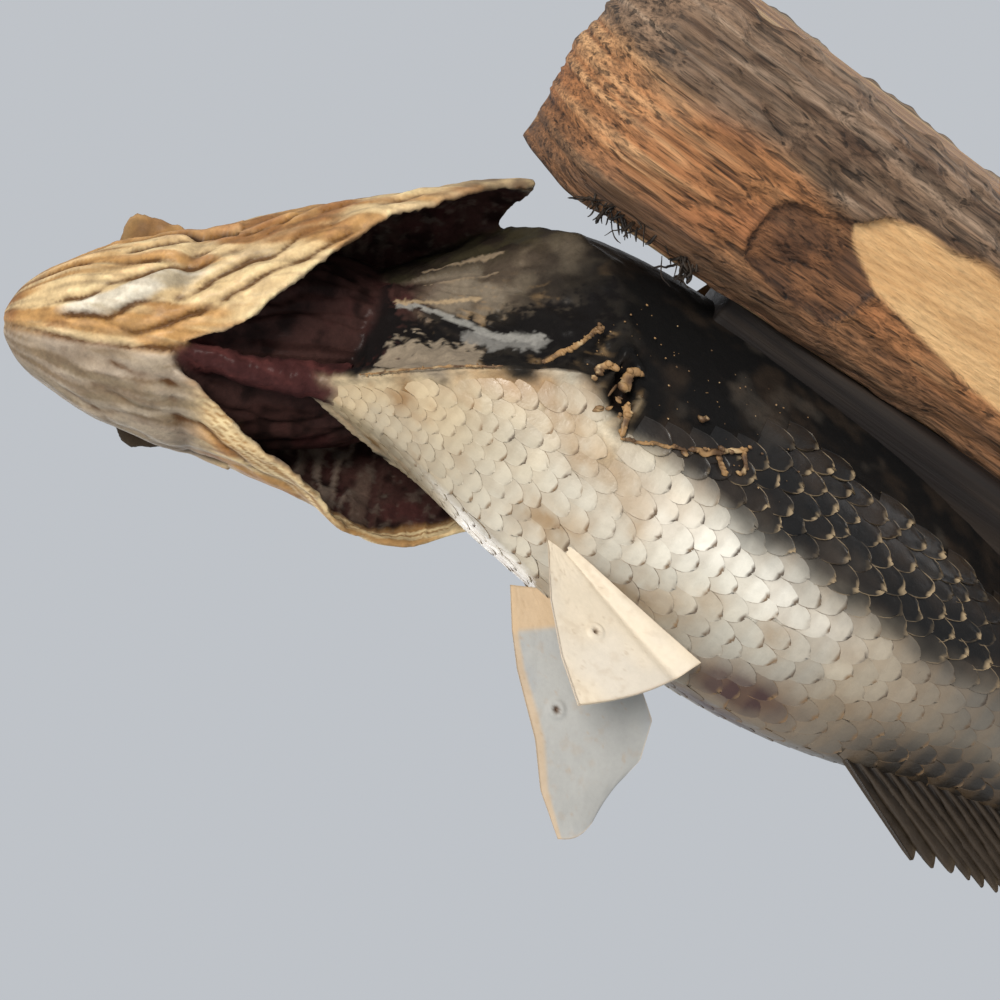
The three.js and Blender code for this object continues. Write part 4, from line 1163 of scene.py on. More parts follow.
def scale_material(name, smoothest, **sockets):
    shade = Nodes(name)
    mottle = shade.noise(shade.coords(), 300.0, 4, 0.6)
    tint = shade.blend("MULTIPLY", shade.attribute("tint"), shade.ramp(mottle, [(0.25, 0.82), (0.6, 1.0)]),
            0.7)
    shade.link(tint, "Base Color")
    streak = shade.noise(shade.coords(), 900.0, 3, 0.6)
    level = shade.ramp(mottle, [(0.3, smoothest), (0.7, smoothest + 0.30)])
    shade.link(shade.blend("ADD", level, shade.attribute("rim"), 0.35), "Roughness")
    shade.link(shade.bump(streak, 0.25, 0.0003, shade.bump(mottle, 0.4, 0.0006)), "Normal")
    return shade.finish(**sockets)


build_scales()


# ---- eyes ---------------------------------------------------------------------------------
def build_eye(side):
    """Glass eye: cornea bulging over a golden iris, its back flattened in the orbit."""
    look = np.array([-0.02, side * 1.0, 0.40])
    look /= np.linalg.norm(look)
    x, y = across_from(look)
    polar = np.linspace(0, np.pi, 44)[1:-1]
    turn = np.linspace(0, 2 * np.pi, 64, endpoint=False)
    p, t = np.meshgrid(polar, turn, indexing="ij")
    r = EYE_RADIUS * (1 + 0.035 * bell(p, 0, 0.5) - 0.15 * ease(1.9, 3.1, p))
    points = EYE_AT[side] + (r * np.cos(p))[..., None] * look + (r * np.sin(p) * np.cos(t))[..., None] * x \
        + (r * np.sin(p) * np.sin(t))[..., None] * y
    verts, faces = closed_loft(points)
    obj = mesh("glass_eye_" + ("left" if side > 0 else "right"), body_to_row(head_to_body(verts)), faces)
    p, t = np.append(p.ravel(), [0, np.pi]), np.append(t.ravel(), [0, 0])
    streaks = 0.75 + 0.25 * noise(stack(np.cos(t) * 9, np.sin(t) * 9, p * 3), 91)
    iris = mix(IRIS_GOLD, IRIS_BROWN, ease(0.42, 0.86, p)) * streaks[:, None]
    iris = mix(IRIS_RING, iris, ease(0.36, 0.46, p))
    colour = mix(PUPIL, iris, ease(0.35, 0.38, p))
    colour = mix(colour, EYE_RIM, ease(0.84, 0.95, p))
    paint(obj, "tint", colour)
    shade = Nodes(obj.name)
    film = shade.noise(shade.coords(), 160.0, 4, 0.6)
    shade.link(shade.blend("MULTIPLY", shade.attribute("tint"),
                           shade.ramp(film, [(0.2, 0.8), (0.7, 1.0)]), 0.6), "Base Color")
    shade.link(shade.ramp(film, [(0.45, 0.07), (0.75, 0.22)]), "Roughness")
    finish_piece(obj, shade.finish(Coat_Weight=1.0, Coat_Roughness=0.03, Specular_IOR_Level=0.6), "eye",
                 "eye_left" if side > 0 else "eye_right")


build_eye(1)
build_eye(-1)


# ---- sheets -------------------------------------------------------------------------------
def slab(middle, thick):
    """Closed sheet about a grid of points (rows, columns, 3) of a given thickness (rows, columns)."""
    rows, columns = middle.shape[:2]
    n = np.cross(np.gradient(middle, axis=0), np.gradient(middle, axis=1))
    n /= np.linalg.norm(n, axis=-1)[..., None] + 1e-9
    half = n * (np.broadcast_to(thick, (rows, columns)) / 2)[..., None]
    points = np.concatenate([(middle + half).reshape(-1, 3), (middle - half).reshape(-1, 3)])
    top = grid_faces(rows, columns, False)
    size = rows * columns
    rim = [i * columns for i in range(rows)] + [(rows - 1) * columns + j for j in range(1, columns)] \
        + [i * columns + columns - 1 for i in range(rows - 2, -1, -1)] + list(range(columns - 2, 0, -1))
    faces = [tuple(f) for f in top] + [tuple(f[::-1] + size) for f in top]
    for a, b in zip(rim, rim[1:] + rim[:1]):
        faces.append((b, a, a + size, b + size))
    return points, faces


def ray_pattern(t, rays):
    """1 on each ray, 0 midway between two."""
    return np.abs(np.cos(np.pi * t * rays)) ** 3


def fin_material(name):
    """Dried membrane or skin from its painted tint."""
    shade = Nodes(name)
    tint = shade.attribute("tint")
    blot = shade.noise(shade.coords(), 220.0, 5, 0.65)
    tint = shade.blend("MULTIPLY", tint, shade.ramp(blot, [(0.3, 0.55), (0.7, 1.0)]), 0.8)
    shade.link(tint, "Base Color")
    shade.link(shade.ramp(blot, [(0.3, 0.38), (0.7, 0.68)]), "Roughness")
    shade.link(shade.bump(blot, 0.5, 0.0006), "Normal")
    return shade.finish(Specular_IOR_Level=0.25)


FIN_LOOK = fin_material("dried_fin")


def paint_fin(obj, ray, height, torn, dark=0.6):
    """Two faces of a slab painted alike: tan rays on a dark olive web, paler torn edge."""
    web = mix(WEB_OLIVE, WEB_BLACK, dark * (0.6 + 0.4 * ease(0.9, 0.1, height)))
    bone = mix(RAY_TAN, RAY_DARK, dark)
    colour = mix(web, bone, ray)
    colour = mix(colour, FRAYED, 0.6 * torn)
    colour = colour.reshape(-1, 3)
    paint(obj, "tint", np.concatenate([colour, colour]))


def median_fin(name, front, back, column, sign, height, profile, rays, lean, notch, node, lay=0.0,
        dark=0.85):
    """Fin on the middle line of back or belly: thin web between thicker rays."""
    per, tall = ((10, 24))
    t, h = np.meshgrid(np.linspace(0, 1, rays * per + 1), np.linspace(0, 1, tall), indexing="ij")
    t = t + 0.010 * noise(stack(h * 3, t * rays, 0 * t), 95) * h
    s = front + (back - front) * t
    edge = along(BODY, s, column)
    slope = (along(BODY, np.array([float(back)]), column) - along(BODY, np.array([float(front)]),
            column))[0]
    run = np.array([-(back - front), 0, slope], float)
    run /= np.linalg.norm(run)
    up = np.array([-run[2], 0, run[0]]) * np.sign(run[0]) * sign
    ray = ray_pattern(t, rays)
    tooth = 1 - notch * (1 - ray) - 0.05 * notch * rough(stack(t * rays * 3, h * 0, h * 0), 96)
    reach = height * profile(t) * tooth * (1 + 0.05 * noise(stack(t * 5, 0 * t, 0 * t), 97))
    middle = stack(-s, along(BODY, s, 4), edge - sign * 4.0)
    middle = middle + run * (lean * profile(t) * h)[..., None] + up * ((reach + 4.0) * h)[..., None]
    bow = 0.9 * np.sin(t * 7 + 1) * h**2 + 0.35 * np.cos(2 * np.pi * t * rays) * h + lay * h**2 \
        + 0.7 * noise(stack(t * 9, h * 2.2, 0 * t), 98) * h
    middle[..., 1] += bow
    thick = 0.55 + (1.5 - 0.9 * h) * ray * ease(1.02, 0.9, h)
    obj = mesh(name, *in_row(*slab(middle, thick)))
    paint_fin(obj, ray, h, ease(0.9, 1.0, h) * (1 - 0.5 * ray) * (1 - 0.8 * dark), dark)
    finish_piece(obj, FIN_LOOK, "fin", node)


def spiny_profile(t):
    return 0.25 + 0.75 * np.sin(np.pi * (0.04 + 0.82 * t)) ** 1.2 - 0.15 * t


def soft_profile(t):
    return 0.42 + 0.58 * np.sin(np.pi * (0.18 + 0.68 * t))


def anal_profile(t):
    return 0.45 + 0.55 * np.sin(np.pi * (0.2 + 0.62 * t)) - 0.2 * t


median_fin("fin_dorsal_spiny", 134, 236, 1, 1, 34, spiny_profile, 11, 8, 0.30, "dorsal_fin_spiny")
median_fin("fin_dorsal_soft", 242, 318, 1, 1, 38, soft_profile, 13, 12, 0.07, "dorsal_fin_soft", 1.5)
median_fin("fin_anal", 250, 304, 2, -1, 24, anal_profile, 12, 30, 0.20, "anal_fin", -1.0, 1.0)


def fan_fin(name, node, origin, axis, span, root_half, outline, rays, bow):
    """Fan of rays: outline(t) gives reach and spread at t = -1..1."""
    per, tall = ((8, 30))
    t, h = np.meshgrid(np.linspace(-1, 1, rays * per + 1), np.linspace(0, 1, tall), indexing="ij")
    reach, width = outline(t)
    ray = np.maximum(ray_pattern((t + 1) / 2, rays), ease(0.5, 0.8, h) * ray_pattern((t + 1) / 2, rays * 2)
            * 0.8)
    frayed = 1 - 0.035 * (1 - ray) - 0.03 * np.abs(rough(stack(t * 14, 0 * t, 0 * t), 99))
    x = -4 + (reach * frayed + 4) * h
    y = root_half * t + (width - root_half * t) * h**0.9
    normal = np.cross(axis, span)
    middle = origin + x[..., None] * axis + y[..., None] * span \
        + (bow(t, h) + 0.25 * np.cos(np.pi * t * rays) * h)[..., None] * normal
    thick = 0.6 + (1.5 - 1.1 * h) * ray
    obj = mesh(name, *in_row(*slab(middle, thick)))
    paint_fin(obj, ray, h, ease(0.88, 1.0, h))
    finish_piece(obj, FIN_LOOK, "fin", node)


def tail_outline(t):
    return ((66 - 9 * np.cos(t * np.pi / 2) - 6 * np.abs(t) ** 6) * np.cos(t * 0.62),
            44 * t * (0.82 + 0.18 * np.abs(t)))


def pectoral_outline(t):
    return 52 * (1 - 0.28 * t * t) * np.cos(t * 0.42), 17 * t * (0.75 + 0.4 * (1 - t * t))


fan_fin("fin_tail", "caudal_fin", np.array([-400.0, 0, 0.7]), np.array([-1.0, 0, 0]), np.array([0, 0, 1.0]),
        20,
        tail_outline, 17, lambda t, h: 1.6 * np.sin(2.2 * t + 1) * h**2)
pectoral_root = body_point(np.array([147.0]), np.array([math.radians(-112)]))[0]
pectoral_axis = np.array([-0.9, -0.3, -0.25]) / np.linalg.norm([0.9, 0.3, 0.25])
pectoral_side = np.cross(np.cross(pectoral_axis, [0.1, -0.55, 0.8]), pectoral_axis)
pectoral_side /= np.linalg.norm(pectoral_side)
fan_fin("fin_pectoral", "pectoral_fin_right", pectoral_root, pectoral_axis, pectoral_side, 5,
        pectoral_outline, 13,
        lambda t, h: 3.0 * h * (1 - h) + 0.8 * np.sin(4 * t) * h)


# ---- card fins ----------------------------------------------------------------------------
CARD_THICK = 0.75
CARD_LEFT_ROOT, CARD_RIGHT_ROOT = np.array([-158.0, 9, -50]), np.array([-157.0, -9, -50])


def build_card(name, node, root, edge_a, edge_b, curl, pins, band, shade_tint):
    """Cut card fin between two edges, each a short run of corners away from its root."""
    def edge(corners, u):
        corners = np.array(corners, float)
        return points_along(u, lengths(corners) / lengths(corners)[-1], corners)

    nu, nv = ((90, 64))
    u, v = np.meshgrid(np.linspace(0, 1, nu), np.linspace(0, 1, nv), indexing="ij")
    a, b = edge(edge_a, u), edge(edge_b, u)
    middle = a + (b - a) * v[..., None]
    n = np.cross(np.array(edge_a[-1]) - np.array(edge_a[0]), np.array(edge_b[-1]) - np.array(edge_b[0]))
    n /= np.linalg.norm(n)
    outer = 1 + 0.05 * np.sin(np.pi * v) * ease(0.7, 1, u)
    middle = middle * outer[..., None] + root
    ragged = 0.05 * rough(stack(u * 14, v * 10, 0 * u), 101)
    height = curl(u, v) + ragged
    hole = np.zeros_like(u)
    for pu, pv, radius in pins:
        away = np.linalg.norm(middle - middle[int(pu * (nu - 1)), int(pv * (nv - 1))], axis=-1)
        hole = np.maximum(hole, ease(radius * 1.5, radius * 0.7, away))
        height = height + 0.7 * bell(away, radius * 1.7, radius * 0.7) - 1.0 * ease(radius, radius * 0.5,
                away)
    middle = middle + n * height[..., None]
    obj = mesh(name, *in_row(*slab(middle, CARD_THICK)))
    rim = np.maximum.reduce([ease(0.985, 1, u), ease(0.015, 0, v), ease(0.985, 1, v)])
    base = mix(CARD_WARM, CARD_COOL, ease(-0.4, 0.5, rough(middle / 18, 102)))
    # painted shade: the card's colour is scaled down, darker and cooler on the right card
    base = base * np.array(shade_tint)
    base = mix(base, CARD_TAN, band(u, v))
    dust = ease(0.35, 0.9, rough(middle / 2.2, 103)) * 0.25 + 0.5 * ease(0.7, 1.1, rough(middle / 1.2, 104))
    base = mix(base, CARD_DUST, dust * 0.7)
    base = mix(base, PIN_HOLE, np.clip(hole, 0, 1))
    base = mix(base, CARD_RIM, 0.5 * rim)
    base = np.clip(base, 0.01, 0.9).reshape(-1, 3)
    paint(obj, "tint", np.concatenate([base, base]))
    finish_piece(obj, CARD_LOOK, "card", node)


def card_material():
    """Coated card, a little stained."""
    shade = Nodes("coated_card")
    fibre = shade.noise(shade.coords(), 900.0, 4, 0.7)
    stain = shade.noise(shade.coords(), 60.0, 4, 0.6)
    tint = shade.blend("MULTIPLY", shade.attribute("tint"), shade.ramp(stain, [(0.3, 0.86), (0.6, 1.0)]),
            0.9)
    shade.link(shade.blend("MULTIPLY", tint, shade.ramp(fibre, [(0.2, 0.88), (0.6, 1.0)]), 0.6),
            "Base Color")
    shade.link(shade.ramp(stain, [(0.3, 0.42), (0.7, 0.6)]), "Roughness")
    shade.link(shade.bump(fibre, 0.15, 0.0003, shade.bump(stain, 0.3, 0.0008)), "Normal")
    return shade.finish(Specular_IOR_Level=0.4)


CARD_LOOK = card_material()


def left_band(u, v):
    return 0.25 * ease(0.09, 0.0, u) + 0.12 * ease(0.90, 0.99, v)


def right_band(u, v):
    return np.clip(0.95 * ease(0.20, 0.17, u) + 0.75 * ease(0.10, 0.05, v), 0, 1)


build_card("card_fin_left", "pelvic_fin_left", CARD_LEFT_ROOT,
           [(2.1, -0.2, 3), (-5.5, 0.7, -13), (-13.2, 1.6, -24.4), (-21.4, 2.5, -33.2)],
           [(2.6, 0, 3.4), (-10.8, 0.9, 0.5), (-26.7, 2.4, -4.0), (-43.2, 3.8, -8.5)],
           lambda u, v: 1.6 * ease(0.80, 1.0, v) + 2.2 * u**2 * (v - 0.3) - 1.3 * bell(v, 0.80, 0.07) * u,
           [(0.66, 0.42, 0.8)], left_band, (1.0, 1.0, 1.0))
# the right card is darkened and cooled as painted shade
build_card("card_fin_right", "pelvic_fin_right", CARD_RIGHT_ROOT,
           [(0, -1.3, -2.4), (-6.5, -5.4, -10.6), (-13, -8.7, -17.5), (-26.2, -13.7, -28.5),
            (-33.9, -17.9, -37.1), (-43.8, -20.9, -44)],
           [(-9.1, 1.5, 1.3), (-26.6, 0.9, -2.5), (-41.3, -0.1, -6.4), (-48.5, -2.1, -12),
            (-51.3, -7.1, -20.5), (-48, -14, -32.3)],
           lambda u, v: 2.4 * (u - 0.2) ** 2 * (1 - v) + 1.2 * np.sin(np.pi * v) * u,
           [(0.52, 0.25, 0.9)], right_band, (0.52, 0.60, 0.74))


# ---- torn skin, threads -------------------------------------------------------------------
STRAND_STEP = 0.55


def strand(path, radius, seed, wobble=0.35):
    """Lumpy closed strand along a path (points, 3)."""
    path = np.asarray(path, float)
    gap = lengths(path)
    t = np.linspace(0, gap[-1], max(4, int(gap[-1] / STRAND_STEP)))
    middle = points_along(t, gap, path)
    for _ in range(3):
        middle[1:-1] = (middle[:-2] + 2 * middle[1:-1] + middle[2:]) / 4
    middle = middle + wobble * rough(stack(t / 2.2, 0 * t + seed, 0 * t), 111)[:,
            None] * np.array([0.6, 0.5, 0.6])
    ahead = np.gradient(middle, axis=0)
    ahead /= np.linalg.norm(ahead, axis=1)[:, None] + 1e-9
    out = middle * [0, 1, 1]
    side = np.cross(ahead, out)
    side /= np.linalg.norm(side, axis=1)[:, None] + 1e-9
    up = np.cross(side, ahead) * 0.6
    a = np.linspace(0, 2 * np.pi, 10, endpoint=False)
    ends = np.sqrt(np.clip(1 - (2 * t / gap[-1] - 1) ** 8, 0.02, 1))
    lumps = 1 + 0.45 * rough(stack(np.cos(a)[None] * 0.8 + 0 * t[:, None], np.sin(a)[None] * 0.8,
            t[:, None] / 1.3 + seed), 112)
    r = np.clip(radius * ends[:, None] * lumps, 0.12, None)
    rings = middle[:, None] + (r * np.cos(a))[..., None] * side[:, None] + (r * np.sin(a))[...,
            None] * up[:, None]
    return closed_loft(rings)


def on_skin(places, lift=0.4):
    """Points on the body a little above the skin from (station, degrees) pairs."""
    s, d = np.array(places, float).T
    return body_point(s, np.radians(d), lift)


def crumb(middle, size, seed):
    """Small uneven lump."""
    rows = []
    for polar in np.linspace(0.35, np.pi - 0.35, 5):
        a = np.linspace(0, 2 * np.pi, 8, endpoint=False)
        p = np.stack([np.sin(polar) * np.cos(a), np.sin(polar) * np.sin(a), np.full(8, np.cos(polar))], -1)
        rows.append(p * (1 + 0.35 * noise(p * 1.3 + seed * 1.7, 115))[:, None])
    return closed_loft(middle + size * np.array(rows) * np.array([1.25, 0.9, 0.8]))


def crust(path, lift, size, spacing, drift):
    """Row of lumps along a run of (station, degrees) on the skin."""
    run = on_skin(path, lift)
    gap = lengths(run)
    lumps = []
    for t in np.arange(0, gap[-1], spacing):
        middle = points_along(t, gap, run) + rng.normal(0, drift, 3)
        lumps.append(crumb(middle, size * (0.55 + 0.75 * rng.random()), rng.random() * 50))
    return lumps


# runs of torn, dried edge on the left shoulder: places, lift, lump size, spacing, drift
CRUSTS = [
    ([(143.2, 115), (143.0, 112), (144.5, 109.5), (146.5, 110.5)], 0.5, 1.15, 0.55, 0.25),
    ([(152, 106.5), (150, 108), (149.6, 111), (151, 114)], 0.8, 1.35, 0.55, 0.30),
    ([(153, 116), (155, 120), (156, 124.5)], 0.2, 0.9, 0.55, 0.30),
    ([(131, 121), (134, 115), (136.5, 107.5), (138, 101.5)], 0.1, 0.72, 0.40, 0.12),
    ([(137.0, 103.2), (138.8, 101.0)], 0.4, 1.0, 0.4, 0.15),
    ([(156, 124.5), (160, 122.5), (165, 119.5), (171, 116.5)], 0.1, 0.50, 0.35, 0.14),
    ([(171, 116.5), (176, 113), (181, 108), (184, 106.5)], 0.2, 0.85, 0.50, 0.22),
    ([(178, 112), (179.5, 114.5), (182, 115.5)], 0.3, 0.75, 0.45, 0.15),
    ([(183, 108), (185.5, 111), (184.5, 113)], 0.3, 0.75, 0.45, 0.15),
    ([(170, 107), (171.5, 105.5)], 0.3, 0.9, 0.5, 0.1),
    ([(97, 153), (106, 143.5), (114, 136), (124, 128.5)], 1.0, 0.34, 0.5, 0.12),
]


def build_torn_skin():
    parts = []
    for number, (run, lift, size, spacing, drift) in enumerate(CRUSTS):
        parts.append(strand(on_skin(run, lift), size * 0.8, number * 3.1 + 0.5, 0.6 * size))
        parts += crust(run, lift + 0.2 * size, size * 0.75, spacing * 2.6, drift * 1.8)
    for _ in range(10):
        s, d = 146.5 + rng.random() * 7, 111 + rng.random() * 13
        parts.append(strand(on_skin([(s, d), (s + rng.normal(0, 1.4), d + rng.normal(0, 3))],
                                    -0.6 + rng.random()),
                            0.3 + 0.3 * rng.random(), rng.random() * 9))
    for _ in range(70):
        s, d = 138 + rng.random() * 60, 84 + rng.random() * 30
        parts.append(crumb(on_skin([(s, d)], 0.0)[0], 0.10 + 0.22 * rng.random() ** 2, rng.random() * 50))
    obj = mesh("torn_skin_edges", *in_row(*joined(parts)))
    where = row_to_body(positions(obj))
    colour = mix(TORN_ORANGE, TORN_BROWN, ease(-0.5, 0.6, rough(where / 2.6, 113)))
    colour = mix(colour, TORN_PALE, ease(0.2, 0.9, rough(where / 1.5, 114)))
    paint(obj, "tint", colour)
    finish_piece(obj, fin_material("torn_skin"), "torn_skin", "pectoral_stub_left")


build_torn_skin()


# ---- board --------------------------------------------------------------------------------
BOARD_HALF, BOARD_THICK = 177, 55
END_ROUND = 34
# share of the thickness from the back, and height over or under the edge line, from the front arris round
LOWER_RUN = np.array([[1.0, 3], [0.86, -1], [0.6, -3], [0.3, -1], [0.08, 3], [0, 7]])
UPPER_RUN = np.array([[0, -7], [0.15, -1], [0.5, 2], [0.85, -1], [1.0, -6]])


def edge_wave(x, a, b, c):
    return np.sin(x / a) * 2.2 + np.sin(x / b + 1) * 1.6 + np.sin(x / c) * 0.8


def board_edges(x):
    """Lower and upper edge of the board along its length."""
    corner = np.clip(np.abs(x) - (BOARD_HALF - END_ROUND), 0, None) / END_ROUND
    rise = 26 * (1 - np.sqrt(1 - np.minimum(0.995, corner * 0.97) ** 2))
    low = -76 + edge_wave(x, 31, 57, 13) + rise + 18 * np.exp(-(x / 90) ** 2)
    return low, 76 + edge_wave(x, 43, 23, 11) - rise * 0.7


def build_board():
    """Board with live lower and upper edges, a sawn facet and a broken chip."""
    k = 1.0

    def run_of(run, step):
        length = lengths(run * [BOARD_THICK, 1])
        return points_along(np.linspace(0, length[-1], int(length[-1] / step) + 1), length, run)

    low_run, high_run = run_of(LOWER_RUN, 0.8 * k), run_of(UPPER_RUN, 1.6 * k)
    x = np.linspace(-BOARD_HALF, BOARD_HALF, int(2 * BOARD_HALF / (0.9 * k)))
    low, high = board_edges(x)
    up = np.linspace(0, 1, int(60 / k))[1:-1]

    def column(shares, rises, base):
        return np.stack(np.broadcast_arrays(x[:, None], -BOARD_THICK * shares[None],
                base[:, None] + rises[None]), -1)

    bottom = column(low_run[:, 0], low_run[:, 1], low)
    top = column(high_run[:, 0], high_run[:, 1], high)
    back = bottom[:, -1][:, None] + (top[:, 0] - bottom[:, -1])[:, None] * up[None, ::2, None]
    front = top[:, -1][:, None] + (bottom[:, 0] - top[:, -1])[:, None] * up[None, :, None]
    rings = np.concatenate([bottom, back, top, front], 1)
    rings[:, :, 0] += 0.6 * noise(rings / 9, 120) * ease(BOARD_HALF - 7, BOARD_HALF, np.abs(rings[:, :, 0]))
    zone = np.concatenate([np.full(part.shape[1], i) for i, part in enumerate((bottom, back, top, front))])
    caps = []
    for end in (0, -1):
        ring, centre = rings[end], rings[end].mean(0)
        step = np.linspace(0, 1, 16)[1:-1]
        caps.append(np.array([centre + (ring - centre) * (1 - f) for f in step]))
    rows = np.concatenate([caps[0][::-1], rings, caps[1]])
    points, faces = closed_loft(rows)
    obj = mesh("live_edge_board", points, faces)
    p, n = positions(obj), normals(obj)
    zone = np.append(np.tile(zone, len(rows)), [4, 4])
    zone[:len(caps[0]) * rings.shape[1]] = 4
    zone[(len(rows) - len(caps[1])) * rings.shape[1]:] = 4
    X, Y, Z = p.T
    on_edge = lambda a, b: stack(X / a, Y / b, 0 * X)
    waver = lambda a, seed: noise(stack(X / a, 0 * X, 0 * X), seed)
    edge, end = (zone == 0) | (zone == 2), zone == 4
    lower = zone == 0
    drift = Y + 2.5 * noise(on_edge(60, 30), 121)
    grain = ridges(stack(X / 70, drift / 2.3, Z / 60), 122) + 0.6 * ridges(stack(X / 34, drift / 1.1,
            Z / 60), 123)
    depth = -Y
    facet_front = np.interp(X, [-40, 46, 66, 85, 93, 97, 101], [46, 40, 37, 33.5, 29.5, 27.5, 22.5])
    facet_rear = np.interp(X, [-40, 67, 84, 95, 101], [12, 13.5, 14.5, 17, 22.5])
    facet = lower * ease(0, 1.6, facet_front - depth) * ease(0, 2.0,
            depth - facet_rear - 0.9 * waver(11, 124)) \
        * ease(102, 101, X) * ease(-60, -40, X)
    weathered = edge * ease(25, 19, depth + 4 * waver(25, 125)) * (1 - facet)
    dull = edge * ease(15, 7.0, BOARD_THICK - depth + 1.5 * waver(20, 126))
    scoop = np.sqrt(((X - 100) / 17) ** 2 + ((depth - 35.5) / 10.5) ** 2)
    scoop = scoop + 0.16 * rough(on_edge(9, 9), 127) + 0.12 * noise(on_edge(14, 12), 119)
    chip = lower * ease(1.06, 0.96, scoop) * (1 - facet)
    tear = lower * bell(scoop, 1.06, 0.13) * (1 - facet)
    relief = edge * (0.55 * grain - 0.3) * (1 - 0.92 * facet) * (1 - 0.55 * chip)
    relief += edge * 0.9 * rough(on_edge(16, 7), 128) * (1 - facet)
    relief += -1.1 * facet - 0.05 * np.clip(facet_front - depth, 0, 20) * facet
    relief += -1.4 * chip * (1 - scoop * 0.5) + 0.5 * tear
    relief += weathered * (0.8 * rough(on_edge(8, 4), 129) - 0.5
            * ease(0.5, 1.0, ridges(on_edge(30, 3), 130)))
    plank = (zone == 3) | (zone == 1)
    relief += plank * 0.12 * ridges(stack(X / 80, Z / 3.0, 0 * X), 131)
    relief += end * 0.35 * rough(p / np.array([3, 2.2, 2.2]), 132)
    arris = bell(depth, BOARD_THICK, 1.2) * (np.abs(n[:, 2]) > 0.2)
    relief -= 0.5 * arris * (0.6 + 0.6 * waver(7, 133))
    place(obj, p + n * relief[:, None])
    stripes = ease(-0.6, 0.9, grain)
    colour = mix(WOOD_DARK, WOOD_ORANGE, ease(-0.9, -0.1, grain))
    colour = mix(colour, WOOD_TAN, 0.85 * ease(0.35, 1.35, grain)
            * ease(-0.7, 0.4, rough(on_edge(30, 6), 134)))
    colour = mix(colour, WOOD_RED, 0.6 * ease(-0.1, 0.8, rough(on_edge(22, 9), 135)))
    grey = mix(GREY_PALE, GREY_DARK, ease(-0.3, 0.7, rough(on_edge(14, 3), 136)))
    grey = mix(grey, GREY_CREST, 0.5 * ease(0.4, 1.0, ridges(on_edge(40, 2.2), 137)))
    colour = mix(colour, grey, 0.88 * weathered)
    colour = mix(colour, mix(DULL_PALE, DULL_DARK, stripes), 0.85 * dull)
    lump = ease(-0.4, 0.6, rough(on_edge(9, 5), 138))
    colour = mix(colour, mix(CHIP_PALE, CHIP_DARK, lump), 0.88 * chip)
    colour = mix(colour, WOOD_DARK * 0.6, 0.8 * bell(scoop, 1.0, 0.05) * lower * (1 - facet))
    saw = 0.5 + 0.5 * np.sin(Y * 2.9 + X * 0.35 + 0.8 * noise(on_edge(6, 6), 139))
    sawn = mix(SAWN_PALE, SAWN_LINE, 0.45 * saw + 0.5 * ease(-0.3, 0.7, rough(on_edge(20, 7), 140)))
    colour = mix(colour, sawn, np.clip(facet * 1.1, 0, 1))
    rings_z = Z + 14 * noise(stack(X / 120, 0 * X, Z / 90), 141)
    boards_face = mix(PLANK_PALE, PLANK_DARK, ease(-0.2, 0.9, ridges(stack(X / 260, 0 * X, rings_z / 7),
            142)))
    boards_face = mix(boards_face, SAPWOOD, 0.7 * ease(52, 66, np.abs(Z) + 3 * waver(30, 143)))
    colour = np.where(plank[:, None], boards_face, colour)
    radius = np.sqrt((Y - 60) ** 2 + (Z * 0.8) ** 2)
    cut = mix(END_PALE, END_DARK, ease(-0.3, 0.8, ridges(stack(radius / 4.0, 0 * X, np.arctan2(Z, Y - 60)),
            144)))
    colour = np.where(end[:, None], cut, colour)
    colour = mix(colour, colour * 0.55, 0.7 * arris)
    paint(obj, "tint", np.clip(colour, 0.004, 0.85))
    paint(obj, "sawn", facet)
    shade = Nodes("board_timber")
    fine = shade.noise(shade.coords((6, 420, 420)), 3.0, 5, 0.7)
    coarse = shade.noise(shade.coords((4, 130, 130)), 3.0, 4, 0.6)
    crack = shade.noise(shade.coords((5, 240, 240)), 3.0, 2, 0.5)
    sawn_face = shade.attribute("sawn", "Fac")
    calm = lambda layer: shade.blend("MIX", layer, (1.0, 1.0, 1.0),
            shade.maths("MULTIPLY", sawn_face, 0.75))
    tint = shade.blend("MULTIPLY", shade.attribute("tint"), calm(shade.ramp(fine,
            [(0.38, 0.36), (0.56, 1.2)])), 0.85)
    tint = shade.blend("MULTIPLY", tint, calm(shade.ramp(coarse, [(0.38, 0.50), (0.58, 1.18)])), 0.8)
    lines = shade.ramp(crack, [(0.34, 0.22), (0.41, 1.0)])
    lines = shade.blend("MIX", lines, (1.0, 1.0, 1.0), sawn_face)
    tint = shade.blend("MULTIPLY", tint, lines, 0.8)
    shade.link(tint, "Base Color")
    shade.link(shade.ramp(coarse, [(0.3, 0.48), (0.7, 0.75)]), "Roughness")
    shade.link(shade.bump(lines, 0.5, 0.0010, shade.bump(fine, 0.7, 0.0009,
            shade.bump(coarse, 0.6, 0.0018))), "Normal")
    finish_piece(obj, shade.finish(Specular_IOR_Level=0.35), "board_wood", "board")


build_board()


def build_fibres():
    """Dark bark fibres hanging on the board's lower front arris."""
    parts = []
    for _ in range(64):
        x = rng.choice([126, 143, 149]) + rng.normal(0, 3.2)
        low = board_edges(np.array([x]))[0][0]
        foot = np.array([x, -BOARD_THICK + 3 + rng.normal(0, 1.2), low + 2.0])
        tip = foot + np.array([rng.normal(0, 3.0), -1.5 - 3.0 * rng.random(), -1.0 - 2.5 * rng.random()])
        bend = (foot + tip) / 2 + rng.normal(0, 0.8, 3)
        parts.append(strand(row_to_body(np.array([foot, bend, tip])), 0.16 + 0.40 * rng.random() ** 2,
                rng.random() * 40))
    obj = mesh("bark_fibres", *in_row(*joined(parts)))
    where = positions(obj)
    paint(obj, "tint", mix(BARK, BARK_DARK, ease(-0.5, 0.5, rough(where / 2.5, 145))))
    finish_piece(obj, fin_material("bark"), "board_wood", "board")


build_fibres()


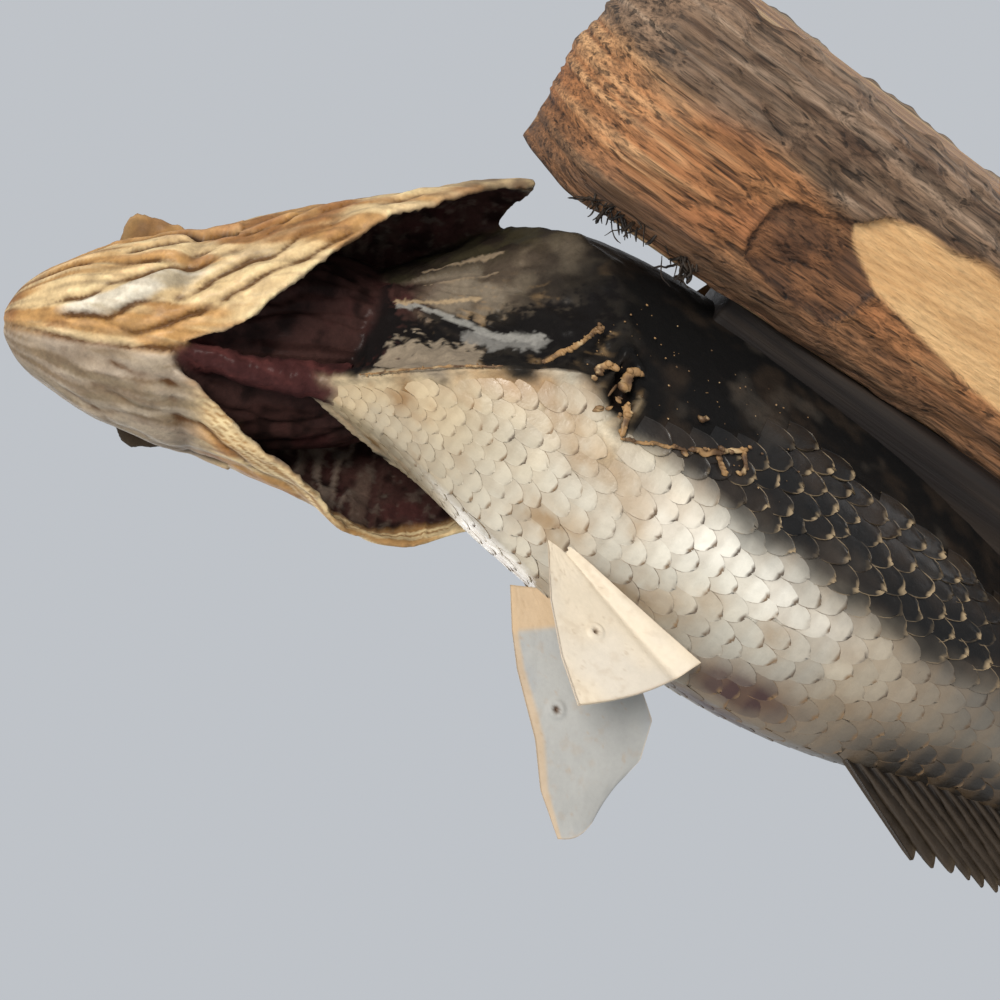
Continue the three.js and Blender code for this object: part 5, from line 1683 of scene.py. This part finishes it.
def build_block():
    """Spacer of timber between board and fish, its edges softened."""
    low, high = np.array([-60.0, -79.5, -60]), np.array([110.0, -55.2, -22])
    x = np.concatenate([[0, 0.6, 1.6], np.linspace(3, 167, 60), [168.4, 169.4, 170]]) + low[0]
    corners = [(-1, -1), (1, -1), (1, 1), (-1, 1)]
    half = (high - low)[1:] / 2
    ring = []
    for k, (a, b) in enumerate(corners):
        nxt = corners[(k + 1) % 4]
        for f in np.linspace(-1, 1, 14, endpoint=False):
            g = (f + 1) / 2
            ring.append(((a + (nxt[0] - a) * g) * half[0], (b + (nxt[1] - b) * g) * half[1]))
    ring = np.array(ring)
    cornered = (np.abs(ring[:, 0]) / half[0]) ** 30 * (np.abs(ring[:, 1]) / half[1]) ** 30
    ring = ring * (1 - cornered[:, None] * np.array([0.05, 0.035]))
    tuck = np.minimum(1, np.minimum(x - x[0], x[-1] - x) / 1.6)
    inset = 1 - 0.05 * (1 - tuck) ** 2
    rows = np.stack([np.stack([np.full(len(ring), xi), ring[:, 0] * w, ring[:, 1] * w], -1) for xi,
            w in zip(x, inset)])
    rows[..., 1:] += (low + high)[1:] / 2
    obj = mesh("timber_spacer", *closed_loft(rows))
    p, n = positions(obj), normals(obj)
    place(obj, p + n * (0.15 * ridges(p / [60, 3, 3], 151))[:, None])
    # near-black colour, partly painted shade standing in for the shadow between board and fish
    paint(obj, "tint", mix(SPACER, SPACER_DARK, ease(-0.4, 0.7, ridges(p / [90, 4, 4], 152))))
    shade = Nodes("spacer_timber")
    fine = shade.noise(shade.coords((6, 220, 220)), 3.0, 5, 0.6)
    shade.link(shade.blend("MULTIPLY", shade.attribute("tint"), shade.ramp(fine, [(0.3, 0.6), (0.6, 1.1)]),
            0.8), "Base Color")
    shade.link(shade.ramp(fine, [(0.3, 0.55), (0.7, 0.75)]), "Roughness")
    shade.link(shade.bump(fine, 0.5, 0.0006), "Normal")
    finish_piece(obj, shade.finish(Specular_IOR_Level=0.3), "block_wood", "mounting_block")


build_block()
